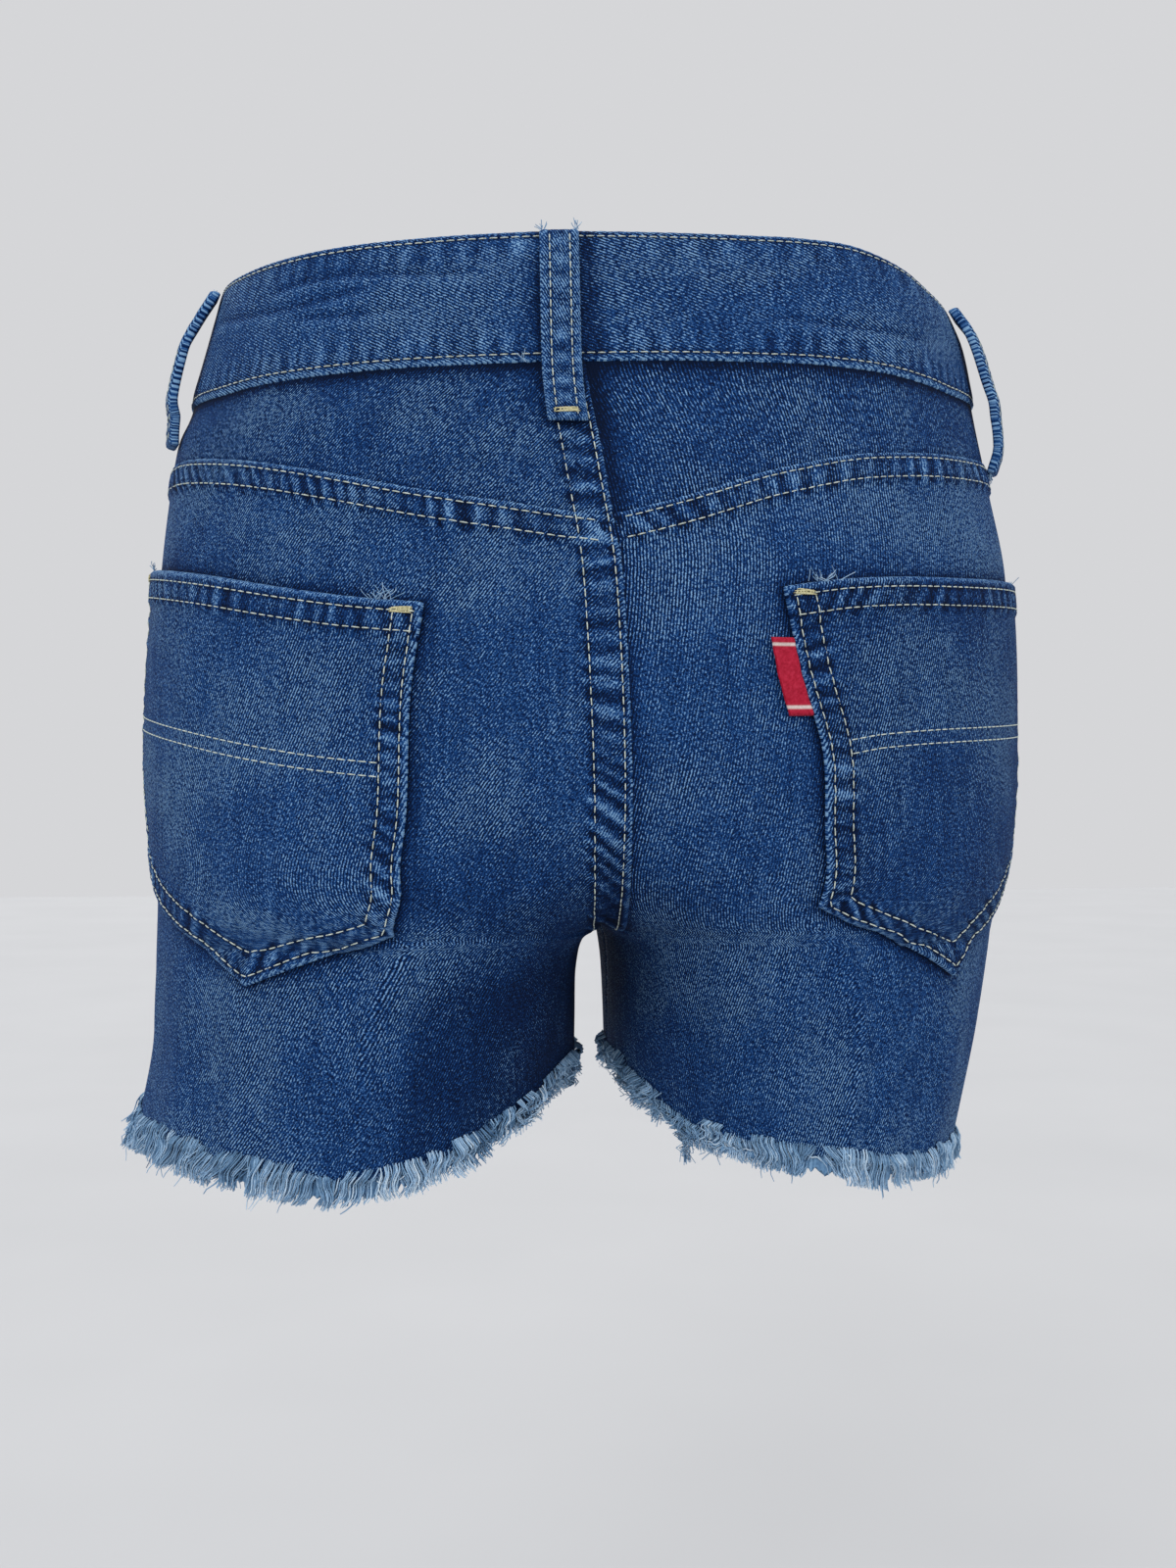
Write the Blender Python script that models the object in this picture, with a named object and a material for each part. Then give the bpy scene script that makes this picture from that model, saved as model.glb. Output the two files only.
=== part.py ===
"""Denim cut-off shorts, worn on a general figure that is left out.

Metres, +Z up. The front faces -Y and the wearer's left is +X. The origin is the middle of the
waist opening. Each half of the garment is one surface: u runs from the centre back, or the
inseam, round the side to the centre front, and v runs down from the waist to the hem.
"""
import math
import random

import bmesh
import bpy
import numpy as np

MM = 0.001
LEFT, RIGHT = 1, -1

# ---- driving sizes, in metres ----
CLOTH = 1.4 * MM          # wall of one panel
BAND_CLOTH = 2.6 * MM     # wall of the waistband, two layers
SEAM_GAP = 0.3 * MM       # space between neighbouring pieces
HALF_GAP = 0.5 * SEAM_GAP
ROUND = 1.06              # fullness of a section: 1 is an ellipse, more is squarer
V_WAIST, V_BAND, V_CROTCH, V_HEM = 0.0, 1.0, 8.0, 12.0
SIDE_SEAM_U = 0.53        # the side seam lies just in front of the widest point
SWING = 1.5               # how closely a section's extra turn gathers near its ends

# Sections from the waist down. Heights and widths in millimetres, measured from the origin;
# angle is how far round, from the side, a half reaches before it meets the other half
# (90: the centre line) or closes on itself (180: a leg); bulge is the share of its width at
# which a half is deepest, counted from its inner end.
SECTIONS = (
    # v, left_z, right_z, back_z, front_z, left_w, right_w, back_d, front_d, angle, bulge
    (0.0, -4.0, -10.0, -3.0, -10.0, 136.0, 138.5, 97.0, 95.0, 90.0, 0),
    (0.4, -18.0, -21.0, -20.0, -26.0, 140.5, 143.5, 100.5, 97.0, 90.0, 0),
    (1.0, -40.0, -41.0, -47.0, -52.0, 147.5, 147.5, 105.0, 100.0, 90.0, 0),
    (2.0, -74.0, -74.0, -82.0, -86.0, 155.5, 153.8, 112.0, 104.0, 90.0, 0),
    (3.0, -108.0, -108.0, -116.0, -116.0, 159.5, 159.6, 117.0, 106.0, 91.0, 0.012),
    (4.0, -143.0, -143.0, -150.0, -148.0, 161.7, 160.8, 118.5, 105.5, 94.0, 0.06),
    (5.0, -176.0, -176.0, -182.0, -178.0, 162.5, 160.2, 117.0, 103.5, 101.0, 0.155),
    (6.0, -203.0, -203.0, -208.0, -203.0, 161.1, 157.2, 114.3, 101.0, 114.0, 0.28),
    (7.0, -222.0, -222.0, -225.0, -221.0, 159.8, 152.6, 112.3, 99.0, 137.0, 0.375),
    (7.6, -231.0, -231.0, -232.0, -230.0, 159.6, 150.1, 111.4, 98.2, 157.0, 0.42),
    (8.0, -238.0, -238.0, -235.2, -235.2, 159.6, 148.0, 110.6, 97.6, 180.0, 0.45),
    (10.0, 0.0, 0.0, 0.0, 0.0, 160.0, 141.5, 105.0, 94.0, 180.0, 0.52),
    (12.0, 0.0, 0.0, 0.0, 0.0, 166.0, 134.0, 100.0, 92.0, 180.0, 0.52),
)

# How far the two centre lines wander from x = 0, in millimetres: the waist sits twisted.
CENTRE_DRIFT = (
    # v,  back, front
    (0.0, 22.4, -14.0),
    (1.0, 20.5, -12.0),
    (2.0, 15.5, -8.0),
    (3.0, 10.5, -5.0),
    (4.0, 8.5, -3.0),
    (5.0, 7.0, -2.0),
    (6.0, 6.0, -1.0),
    (7.0, 4.0, 0.0),
    (8.0, 0.0, 0.0),
)

# How far the waistband sits above or below its sections, in millimetres: the band tilts and
# its edges swing. t is u on the left half and minus u on the right half.
LEVEL = (
    # t, top edge, lower edge
    (-1.00, 0.0, 0.0),
    (-0.46, 0.0, 0.2),
    (-0.40, 0.6, -0.6),
    (-0.33, 2.5, -1.2),
    (-0.27, 6.2, 0.4),
    (-0.22, 7.3, 1.6),
    (-0.165, 5.3, 1.8),
    (-0.12, 2.8, 1.1),
    (-0.06, 0.2, 0.0),
    (0.00, -1.6, -1.7),
    (0.07, -3.1, -3.4),
    (0.14, -3.7, -5.0),
    (0.20, -3.6, -6.4),
    (0.28, -3.3, -8.0),
    (0.35, -2.7, -9.2),
    (0.42, -1.2, -8.4),
    (0.50, -0.3, -6.8),
    (0.60, 0.0, -4.6),
    (0.72, 0.0, -2.0),
    (0.86, 0.0, 0.0),
    (1.00, 0.0, 0.0),
)

# Fullness of the inner quarter of a half, where the seat runs down into the leg.
INNER_ROUND = ((0.0, ROUND), (4.0, 1.08), (5.0, 1.12), (6.0, 1.19), (7.0, 1.27), (8.0, 1.33),
               (9.5, 1.26), (12.0, 1.15))

# Half the space between the legs, in millimetres.
LEG_SPACE = ((8.0, 0.15), (8.10, 2.6), (8.3, 5.0), (8.7, 6.4), (9.6, 7.2), (12.0, 7.4))

# Height of the cloth's lower edge round each leg, in millimetres. Turn is in degrees from the
# side: plus is towards the back, minus towards the front, and 180 is the inseam.
HEM = (
    # turn, left_z, right_z
    (-180.0, -285.0, -285.0),
    (-140.0, -291.0, -292.0),
    (-90.0, -299.0, -300.0),
    (-35.0, -303.0, -308.0),
    (0.0, -303.0, -312.0),
    (20.0, -301.2, -313.0),
    (40.0, -303.0, -311.6),
    (60.0, -305.4, -310.4),
    (75.0, -308.2, -310.2),
    (90.0, -310.2, -308.0),
    (100.0, -308.2, -306.0),
    (110.0, -303.8, -304.4),
    (120.0, -298.2, -303.4),
    (128.0, -294.2, -302.4),
    (135.0, -291.0, -300.6),
    (142.0, -287.8, -297.6),
    (150.0, -285.2, -293.8),
    (158.0, -284.2, -290.2),
    (168.0, -284.4, -287.2),
    (180.0, -285.0, -285.0),
)

# The yoke seam: v along the back from the centre (u = 0) to the side seam.
YOKE_SEAM = (
    # u,   left_v, right_v
    (0.00, 2.51, 2.53),
    (0.05, 2.42, 2.31),
    (0.12, 2.30, 2.00),
    (0.20, 2.13, 1.80),
    (0.30, 1.97, 1.735),
    (0.40, 1.89, 1.70),
    (0.53, 1.86, 1.72),
)

# The front pocket mouth: u of the front panel's edge from the waistband to the side seam.
MOUTH = ((1.0, 0.735), (1.4, 0.715), (1.8, 0.685), (2.2, 0.640), (2.5, 0.590), (2.7, 0.535))
MOUTH_V = 2.7

# Patch pocket outlines on the back, as u and v along each edge.
POCKET_TOP = {
    LEFT: ((0.0, 0.117, 3.372), (0.15, 0.169, 3.332), (0.30, 0.222, 3.263),
           (0.55, 0.311, 3.131), (1.0, 0.475, 2.960)),
    RIGHT: ((0.0, 0.112, 3.176), (0.15, 0.157, 3.096), (0.30, 0.209, 3.066),
            (0.55, 0.296, 3.051), (1.0, 0.455, 3.020)),
}
POCKET_INNER = {
    LEFT: ((0.0, 0.117, 3.372), (0.25, 0.127, 4.202), (0.57, 0.134, 5.402),
           (0.80, 0.154, 6.433), (1.0, 0.197, 7.580)),
    RIGHT: ((0.0, 0.1055, 3.176), (0.25, 0.1135, 3.952), (0.50, 0.129, 4.852),
            (0.68, 0.1325, 5.562), (1.0, 0.1585, 6.940)),
}
POCKET_OUTER = {
    LEFT: ((0.0, 0.475, 2.960), (0.5, 0.479, 4.600), (1.0, 0.448, 6.453)),
    RIGHT: ((0.0, 0.455, 3.020), (0.5, 0.448, 4.600), (1.0, 0.410, 6.200)),
}
POCKET_FOOT = {
    LEFT: ((0.0, 0.197, 7.580), (0.25, 0.244, 7.964), (0.50, 0.267, 8.266),
           (0.62, 0.296, 8.645), (0.80, 0.370, 7.559), (1.0, 0.448, 6.453)),
    RIGHT: ((0.0, 0.1585, 6.940), (0.20, 0.196, 7.425), (0.40, 0.245, 7.861),
            (0.60, 0.291, 8.582), (0.80, 0.354, 7.320), (1.0, 0.410, 6.200)),
}
POCKET_TIP = {LEFT: 0.62, RIGHT: 0.60}   # share of the foot where its point is
POCKET_CLOTH = 2.0 * MM
POCKET_LIFT = 0.6 * MM
POCKET_HEM_RISE = 0.8 * MM

# Belt loops: where each lies (t: u from the centre back, plus on the left), its tilt, its length
# in v, and how far its middle bows away from the band, in millimetres at shares of its length.
LOOP_WIDTH = 12.6 * MM
LOOP_CLOTH = 1.9 * MM
LOOPS = (
    # name, t_top, t_foot, v_foot, bow
    ("belt_loop_back", 0.000, 0.006, 1.62, ((0.0, 0.0), (0.5, 0.7), (1.0, 0.0))),
    ("belt_loop_side_left", 0.443, 0.447, 1.66,
     ((0.0, 0.2), (0.15, 3.2), (0.32, 5.6), (0.52, 5.2), (0.75, 3.0), (1.0, 0.0))),
    ("belt_loop_side_right", -0.385, -0.412, 1.78,
     ((0.0, 0.2), (0.18, 2.6), (0.42, 4.2), (0.66, 5.8), (0.85, 4.6), (1.0, 0.3))),
    ("belt_loop_front_left", 0.740, 0.740, 1.40, ((0.0, 0.0), (0.5, 1.4), (1.0, 0.0))),
    ("belt_loop_front_right", -0.740, -0.740, 1.40, ((0.0, 0.0), (0.5, 1.4), (1.0, 0.0))),
)
BAND_PROUD = 1.2 * MM     # how far the waistband stands above the panels below it
BAND_OVERLAP_U = 0.075    # the buttoned end laps this far past the centre front
BAND_OVERLAP_RISE = 3.3 * MM
LAID_ON = 0.6 * MM        # clearance of a piece that lies on a curved panel

# The fringe: a narrow strip below each cut edge, from which the warp threads hang.
STRIP_HEIGHT = 2.4 * MM
STRIP_CELLS = 176
STRAND_FLARE = 0.35
FRINGE_LENGTH = (
    # turn, left, right: how far the threads hang below the cut, in millimetres
    (-180.0, 8.0, 8.0),
    (-120.0, 11.5, 11.0),
    (-60.0, 13.5, 12.0),
    (0.0, 13.5, 10.5),
    (35.0, 12.5, 9.0),
    (60.0, 10.8, 8.8),
    (100.0, 10.5, 10.0),
    (140.0, 7.8, 7.6),
    (180.0, 8.0, 8.0),
)

FOLDS = (
    # side, u, z, half_u, half_z, lean (u for each mm of z), height; lengths in millimetres
    (LEFT, 0.225, -285.0, 0.016, 48.0, 0.0, 2.4),
    (LEFT, 0.185, -290.0, 0.016, 42.0, 0.0, -1.6),
    (LEFT, 0.360, -292.0, 0.020, 36.0, 0.0002, 1.4),
    (RIGHT, 0.130, -248.0, 0.055, 16.0, -0.0025, 1.8),
    (RIGHT, 0.190, -272.0, 0.045, 18.0, -0.0020, -1.4),
    (RIGHT, 0.300, -295.0, 0.020, 34.0, 0.0, 1.4),
    (LEFT, 0.740, -285.0, 0.018, 45.0, 0.0, 2.0),
    (LEFT, 0.840, -252.0, 0.060, 26.0, 0.0010, 1.0),
    (RIGHT, 0.760, -280.0, 0.018, 42.0, 0.0, 1.8),
    (RIGHT, 0.845, -250.0, 0.060, 26.0, 0.0010, 1.0),
)


def smooth_curve(rows, column):
    """A monotone cubic through one column of a table whose first column is the position."""
    xs = np.array([row[0] for row in rows], float)
    ys = np.array([row[column] for row in rows], float)
    step = np.diff(xs)
    rise = np.diff(ys) / step
    slope = np.zeros_like(ys)
    inner = rise[:-1] * rise[1:] > 0
    w1 = 2 * step[1:] + step[:-1]
    w2 = step[1:] + 2 * step[:-1]
    with np.errstate(divide="ignore", invalid="ignore"):
        mean = (w1 + w2) / (w1 / rise[:-1] + w2 / rise[1:])
    slope[1:-1] = np.where(inner, mean, 0.0)
    slope[0], slope[-1] = rise[0], rise[-1]

    def value(at):
        at = np.clip(np.asarray(at, float), xs[0], xs[-1])
        i = np.clip(np.searchsorted(xs, at, side="right") - 1, 0, len(step) - 1)
        t = (at - xs[i]) / step[i]
        h = step[i]
        return ((2 * t**3 - 3 * t**2 + 1) * ys[i] + (t**3 - 2 * t**2 + t) * h * slope[i]
                + (3 * t**2 - 2 * t**3) * ys[i + 1] + (t**3 - t**2) * h * slope[i + 1])
    return value


ABOVE_LEGS = [row for row in SECTIONS if row[0] <= V_CROTCH]
side_z = {LEFT: smooth_curve(ABOVE_LEGS, 1), RIGHT: smooth_curve(ABOVE_LEGS, 2)}
back_z = smooth_curve(ABOVE_LEGS, 3)
front_z = smooth_curve(ABOVE_LEGS, 4)
width = {LEFT: smooth_curve(SECTIONS, 5), RIGHT: smooth_curve(SECTIONS, 6)}
back_depth = smooth_curve(SECTIONS, 7)
front_depth = smooth_curve(SECTIONS, 8)
reach = smooth_curve(SECTIONS, 9)
bulge = smooth_curve(SECTIONS, 10)
drift_back = smooth_curve(CENTRE_DRIFT, 1)
drift_front = smooth_curve(CENTRE_DRIFT, 2)
leg_space = smooth_curve(LEG_SPACE, 1)
inner_round = smooth_curve(INNER_ROUND, 1)
level_top = smooth_curve(LEVEL, 1)
level_low = smooth_curve(LEVEL, 2)
hem = {LEFT: smooth_curve(HEM, 1), RIGHT: smooth_curve(HEM, 2)}
yoke_seam = {LEFT: smooth_curve(YOKE_SEAM, 1), RIGHT: smooth_curve(YOKE_SEAM, 2)}
mouth_u = smooth_curve(MOUTH, 1)
fringe_length = {LEFT: smooth_curve(FRINGE_LENGTH, 1), RIGHT: smooth_curve(FRINGE_LENGTH, 2)}


def ease(t):
    """0 to 1 with level ends."""
    t = np.clip(t, 0.0, 1.0)
    return t * t * (3 - 2 * t)


def full(value, fullness):
    """A sine or cosine, swelled so that a circle turns into a rounded square."""
    return np.sign(value) * np.abs(value) ** (1 / fullness)


def level(t, v):
    """How far the cloth at t and v sits above its section, in millimetres."""
    upper, lower = level_top(t), level_low(t)
    share = np.clip(v / V_BAND, 0, 1)
    return (upper + (lower - upper) * share) * (1 - ease((v - V_BAND) / 0.68))


def fold_height(side, u, z):
    """Soft ridges and troughs, in metres, by u and by height."""
    total = np.zeros(np.broadcast(u, z).shape)
    for fold_side, fold_u, fold_z, half_u, half_z, lean, height in FOLDS:
        if fold_side == side:
            rise = z / MM - fold_z
            across = (u - fold_u - lean * rise) / half_u
            total = total + height * MM * np.exp(-across**2 - (rise / half_z) ** 2)
    return total


def form(side, u, v):
    """Points of one half's outer face, without folds. Arrays in, an (..., 3) array out."""
    u, v = np.broadcast_arrays(np.asarray(u, float), np.asarray(v, float))
    back = u <= 0.5
    part = np.where(back, 1 - 2 * u, 2 * u - 1)          # 0 at the side, 1 at the centre line
    last = np.radians(reach(v))
    quarter = 0.5 * math.pi
    angle = part * quarter + part**SWING * (last - quarter)
    drift = np.where(back, drift_back(v), drift_front(v)) * side
    inner = np.where(v < V_CROTCH, drift + HALF_GAP / MM, leg_space(v))
    wide = width[side](v)
    fullness = np.where(angle > quarter, inner_round(v), ROUND)
    inside = bulge(v) * (wide - inner)                   # from the deepest point to either end
    outside = wide - inner - inside
    closing = np.where(last > quarter + 1e-9, -full(np.cos(last), inner_round(v)), 1.0)
    radius = np.where(angle > quarter, inside / closing, outside)
    x = inner + inside + radius * full(np.cos(angle), fullness)
    depth = np.where(back, back_depth(v), -front_depth(v))
    y = depth * full(np.sin(angle), fullness)
    end_z = np.where(back, back_z(v), front_z(v))
    z = side_z[side](v) + (end_z - side_z[side](v)) * ease(part)
    turn = np.degrees(angle) * np.where(back, 1, -1)
    down = np.clip((v - V_CROTCH) / (V_HEM - V_CROTCH), 0, 1)
    z = z + down * (hem[side](turn) - z) + level(side * u, v)
    return np.stack([side * x, y, z], axis=-1) * MM


def outward(side, u, v):
    """Unit normals of one half's outer face."""
    du, dv = 0.002, 0.02
    along = form(side, np.clip(u + du, 0, 1), v) - form(side, np.clip(u - du, 0, 1), v)
    down = form(side, u, np.clip(v + dv, 0, V_HEM)) - form(side, u, np.clip(v - dv, 0, V_HEM))
    n = np.cross(along, down) * side
    return n / np.maximum(np.linalg.norm(n, axis=-1, keepdims=True), 1e-12)


def surface(side, u, v, lift=0.0):
    """Points of one half moved out by lift, with its folds, kept on its own side of the centre."""
    u, v = np.broadcast_arrays(np.asarray(u, float), np.asarray(v, float))
    points = form(side, u, v)
    rise = fold_height(side, u, points[..., 2]) + lift
    points = points + outward(side, u, v) * rise[..., None]
    drift = np.where(u <= 0.5, drift_back(v), drift_front(v)) * side * MM
    low = np.where(v < V_CROTCH, drift + HALF_GAP, HALF_GAP)
    points[..., 0] = side * np.maximum(side * points[..., 0], low)
    return points


# ---- meshes ----
def material(name, colour, roughness, metallic=0.0):
    mat = bpy.data.materials.new(name)
    mat.use_nodes = True
    shader = mat.node_tree.nodes["Principled BSDF"]
    shader.inputs["Base Color"].default_value = (*colour, 1.0)
    shader.inputs["Roughness"].default_value = roughness
    shader.inputs["Metallic"].default_value = metallic
    return mat


def add_object(name, bm, mat):
    """Close the bookkeeping on a bmesh: outward faces, a material and a named object."""
    bmesh.ops.recalc_face_normals(bm, faces=bm.faces)
    mesh = bpy.data.meshes.new(name)
    bm.to_mesh(mesh)
    bm.free()
    mesh.materials.append(mat)
    mesh.shade_smooth()
    mesh.set_sharp_from_angle(angle=math.radians(40))
    obj = bpy.data.objects.new(name, mesh)
    bpy.context.scene.collection.objects.link(obj)
    return obj


def wall(outer, inner):
    """A bmesh of a cloth wall from two equal grids of points: faces, back and four edges."""
    bm = bmesh.new()
    rows, cols = outer.shape[:2]
    grids = [[[bm.verts.new(grid[i, j]) for j in range(cols)] for i in range(rows)]
             for grid in (outer, inner)]
    top, under = grids
    for i in range(rows - 1):
        for j in range(cols - 1):
            bm.faces.new((top[i][j], top[i][j + 1], top[i + 1][j + 1], top[i + 1][j]))
            bm.faces.new((under[i][j], under[i + 1][j], under[i + 1][j + 1], under[i][j + 1]))
    rim = [(i, 0) for i in range(rows)] + [(rows - 1, j) for j in range(1, cols)]
    rim += [(i, cols - 1) for i in range(rows - 2, -1, -1)]
    rim += [(0, j) for j in range(cols - 2, 0, -1)]
    for (a, b), (c, d) in zip(rim, rim[1:] + rim[:1]):
        bm.faces.new((top[a][b], top[c][d], under[c][d], under[a][b]))
    return bm


def panel(name, u, v, side, mat, relief=0.0, cloth=CLOTH, base=0.0):
    """A wall over grids of u and v. relief raises the outer face alone."""
    outer = surface(side, u, v, base + relief)
    inner = surface(side, u, v, base - cloth)
    return add_object(name, wall(outer, inner), mat)


# ---- the body of the shorts ----
FELL_U, FELL_FOOT_U = 0.017, 0.022       # the felled centre-back seam, each side of the centre
FELL_RISE = 0.9 * MM
YOKE_FELL_V = 0.28                       # height of the felled yoke seam
EDGE_V = 0.0045                          # half a seam gap, in v
EDGE_U = 0.0005                          # half a seam gap, in u
INSEAM_U = 0.0002
BACK_U = (0.0, FELL_U, FELL_FOOT_U, 0.055, 0.09, 0.13, 0.17, 0.21, 0.25, 0.29, 0.33, 0.37,
          0.41, 0.45, 0.49, SIDE_SEAM_U - EDGE_U)
LOW_V = (3.0, 3.6, 4.2, 4.8, 5.4, 6.0, 6.5, 7.0, 7.35, 7.65, 7.85, 8.0, 8.5, 9.5, 10.7, V_HEM)
FRONT_V = (V_BAND, 1.4, 1.8, 2.2, 2.5, MOUTH_V, 3.3, 4.0, 4.7, 5.4, 6.0, 6.5, 7.0, 7.35, 7.65,
           7.85, 8.0, 8.5, 9.5, 10.7, V_HEM)
FRONT_COLUMNS = 14
NAMES = {LEFT: "left", RIGHT: "right"}


def fell_relief(u, v):
    """Height of the lapped centre-back seam, fading out before the crotch."""
    return FELL_RISE * (u <= FELL_U) * (1 - ease((v - 6.2) / 1.2))


def first_u(v):
    """The first u of a row: on the centre line above the crotch, just off the inseam below."""
    return np.where(v > 7.5, INSEAM_U, 0.0)


def make_yoke(side, mat):
    share = np.linspace(0, 1, 5)[:, None]
    u = np.array(BACK_U)[None, :] + 0 * share
    seam = yoke_seam[side](u) - EDGE_V
    top = V_BAND + EDGE_V
    v = top + (seam - top) * share
    panel(f"yoke_{NAMES[side]}", u, v, side, mat, fell_relief(u, v))


def make_back_panel(side, mat):
    u_row = np.array(BACK_U)
    seam = yoke_seam[side](u_row) + EDGE_V
    fell = seam + YOKE_FELL_V
    rows = [seam, fell, fell + 0.05, 0.5 * (fell + LOW_V[0])]
    rows += [np.full_like(u_row, v) for v in LOW_V]
    v = np.array(rows)
    u = np.maximum(u_row[None, :], first_u(v))
    relief = fell_relief(u, v)
    relief[:2] = np.maximum(relief[:2], 0.7 * FELL_RISE)
    panel(f"back_panel_{NAMES[side]}", u, v, side, mat, relief)


def make_front_panel(side, mat):
    v = np.array(FRONT_V)[:, None] + np.zeros((1, FRONT_COLUMNS))
    v[0] += EDGE_V
    share = np.linspace(0, 1, FRONT_COLUMNS)[None, :]
    start = np.where(v[:, :1] < MOUTH_V, mouth_u(v[:, :1]), SIDE_SEAM_U + EDGE_U)
    end = 1 - first_u(v[:, :1])
    panel(f"front_panel_{NAMES[side]}", start + (end - start) * share, v, side, mat)


def make_front_facing(side, mat):
    """The pocket piece seen behind the mouth: level with the back at the side seam, and then
    one wall below the front panel."""
    v = np.array((V_BAND + EDGE_V, 1.4, 1.8, 2.2, 2.5, 2.7, 2.95))[:, None] + np.zeros((1, 9))
    start = SIDE_SEAM_U + EDGE_U
    share = np.array((0, 0.06, 0.12, 0.25, 0.4, 0.55, 0.7, 0.85, 1.0))[None, :]
    u = start + (mouth_u(v[:, :1]) + 0.035 - start) * share
    under = np.maximum(ease((u - start) / 0.02), ease((v - 2.3) / 0.2))
    base = -(CLOTH + LAID_ON) * under
    outer = surface(side, u, v, base)
    inner = surface(side, u, v, base - CLOTH)
    add_object(f"front_facing_{NAMES[side]}", wall(outer, inner), mat)


def back_point(t, v, lift):
    """Points round the garment: t is u on the left half, and minus u on the right half."""
    t, v, lift = np.broadcast_arrays(t, v, lift)
    on_left = surface(LEFT, np.abs(t), v, lift)
    on_right = surface(RIGHT, np.abs(t), v, lift)
    return np.where((t >= 0)[..., None], on_left, on_right)


def make_waistband(mat):
    """One strip from the right centre front, round the back, to a buttoned end that laps over."""
    right_front = -np.linspace(0.998, 0.0, 41)
    left = np.linspace(0.0, 1.0, 41)[1:]
    t = np.concatenate([right_front, left])
    lap = BAND_OVERLAP_RISE * ease((np.abs(t) - 0.90) / 0.07) * (t > 0)
    v = np.array((V_WAIST, 0.5 * V_BAND, V_BAND - EDGE_V))[:, None]
    outer = back_point(t[None, :], v, BAND_PROUD + lap[None, :])
    inner = back_point(t[None, :], v, BAND_PROUD - BAND_CLOTH + lap[None, :])
    over = np.linspace(1.0, 1.0 - BAND_OVERLAP_U, 6)[None, 1:]
    lift = BAND_PROUD + BAND_OVERLAP_RISE
    outer = np.concatenate([outer, surface(RIGHT, over, v, lift)], axis=1)
    inner = np.concatenate([inner, surface(RIGHT, over, v, lift - BAND_CLOTH)], axis=1)
    add_object("waistband", wall(outer, inner), mat)


def make_loop(name, t_top, t_foot, v_foot, bow, mat):
    """A belt loop: a flat strip that lies on the band and may bow away from it."""
    share = np.array([row[0] for row in bow])
    share = np.union1d(share, np.linspace(0, 1, 9))
    rise = smooth_curve(bow, 1)(share) * MM
    v = 0.02 + (v_foot - 0.02) * share
    middle = t_top + (t_foot - t_top) * share
    below = ease((v - V_BAND) / 0.25)
    foot_rise = FELL_RISE if name == "belt_loop_back" else 0.0
    lift = LAID_ON + BAND_PROUD * (1 - below) + foot_rise * below + rise
    half = 0.5 * LOOP_WIDTH
    centre = back_point(middle, v, lift)
    ahead = back_point(middle + 0.004, v, lift)
    across = ahead - centre
    across /= np.linalg.norm(across, axis=-1, keepdims=True)
    along = np.gradient(centre, axis=0)
    out = np.cross(across, along)
    out /= np.linalg.norm(out, axis=-1, keepdims=True)
    away = back_point(middle, v, lift + MM) - centre
    out *= np.sign((out * away).sum(-1, keepdims=True))
    inner = np.stack([centre - across * half, centre, centre + across * half], axis=1)
    outer = inner + out[:, None, :] * LOOP_CLOTH
    return add_object(name, wall(outer, inner), mat)


def pocket_grid(side, columns, rows):
    """u and v over a patch pocket, blended from its four edges."""
    a, b = columns[None, :], rows[:, None]
    grids = []
    for column in (1, 2):
        top = smooth_curve(POCKET_TOP[side], column)(a)
        foot_rows = np.array(POCKET_FOOT[side])
        foot = np.interp(a, foot_rows[:, 0], foot_rows[:, column])
        inner = smooth_curve(POCKET_INNER[side], column)(b)
        outer = smooth_curve(POCKET_OUTER[side], column)(b)
        corners = ((1 - a) * (1 - b) * top[0, 0] + a * (1 - b) * top[0, -1]
                   + (1 - a) * b * foot[0, 0] + a * b * foot[0, -1])
        grids.append((1 - b) * top + b * foot + (1 - a) * inner + a * outer - corners)
    return grids


def make_pocket(side, mat):
    tip = POCKET_TIP[side]
    columns = np.concatenate([np.linspace(0, tip, 11), np.linspace(tip, 1, 8)[1:]])
    rows = np.concatenate([[0, 0.075, 0.09], np.linspace(0.16, 1, 11)])
    u, v = pocket_grid(side, columns, rows)
    hem_rise = POCKET_HEM_RISE * (rows[:, None] < 0.08) + 0 * u
    base = POCKET_LIFT + POCKET_CLOTH
    panel(f"back_pocket_{NAMES[side]}", u, v, side, mat, hem_rise, POCKET_CLOTH, base)


TAB_CLOTH = 1.2 * MM
TAB_SPAN = (0.155, 0.375)                # shares of the pocket's inner edge it runs between
TAB_REACH_U = (0.0164, 0.0008)           # from its outer edge to the pocket's edge, in u


def make_tab(mat):
    """A folded woven tab, caught in the inner edge of the right pocket."""
    b = np.linspace(*TAB_SPAN, 5)[:, None]
    edge_u = smooth_curve(POCKET_INNER[RIGHT], 1)(b)
    edge_v = smooth_curve(POCKET_INNER[RIGHT], 2)(b)
    u = edge_u - np.linspace(*TAB_REACH_U, 3)[None, :]
    v = edge_v + 0 * u
    panel("pocket_tab", u, v, RIGHT, mat, 0.0, TAB_CLOTH, LAID_ON + TAB_CLOTH)


# ---- the closure ----
FLY_FOOT_V = 3.7
TAPE_CLOTH = 1.0 * MM
TAPE_DEPTH = CLOTH + 4.4 * MM            # how far behind the fronts' outer face each piece lies
SHIELD_DEPTH = TAPE_DEPTH + TAPE_CLOTH + 0.6 * MM
SLIDER_DEPTH = CLOTH + 0.6 * MM
SLIDER_THICK = 3.0 * MM


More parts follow.
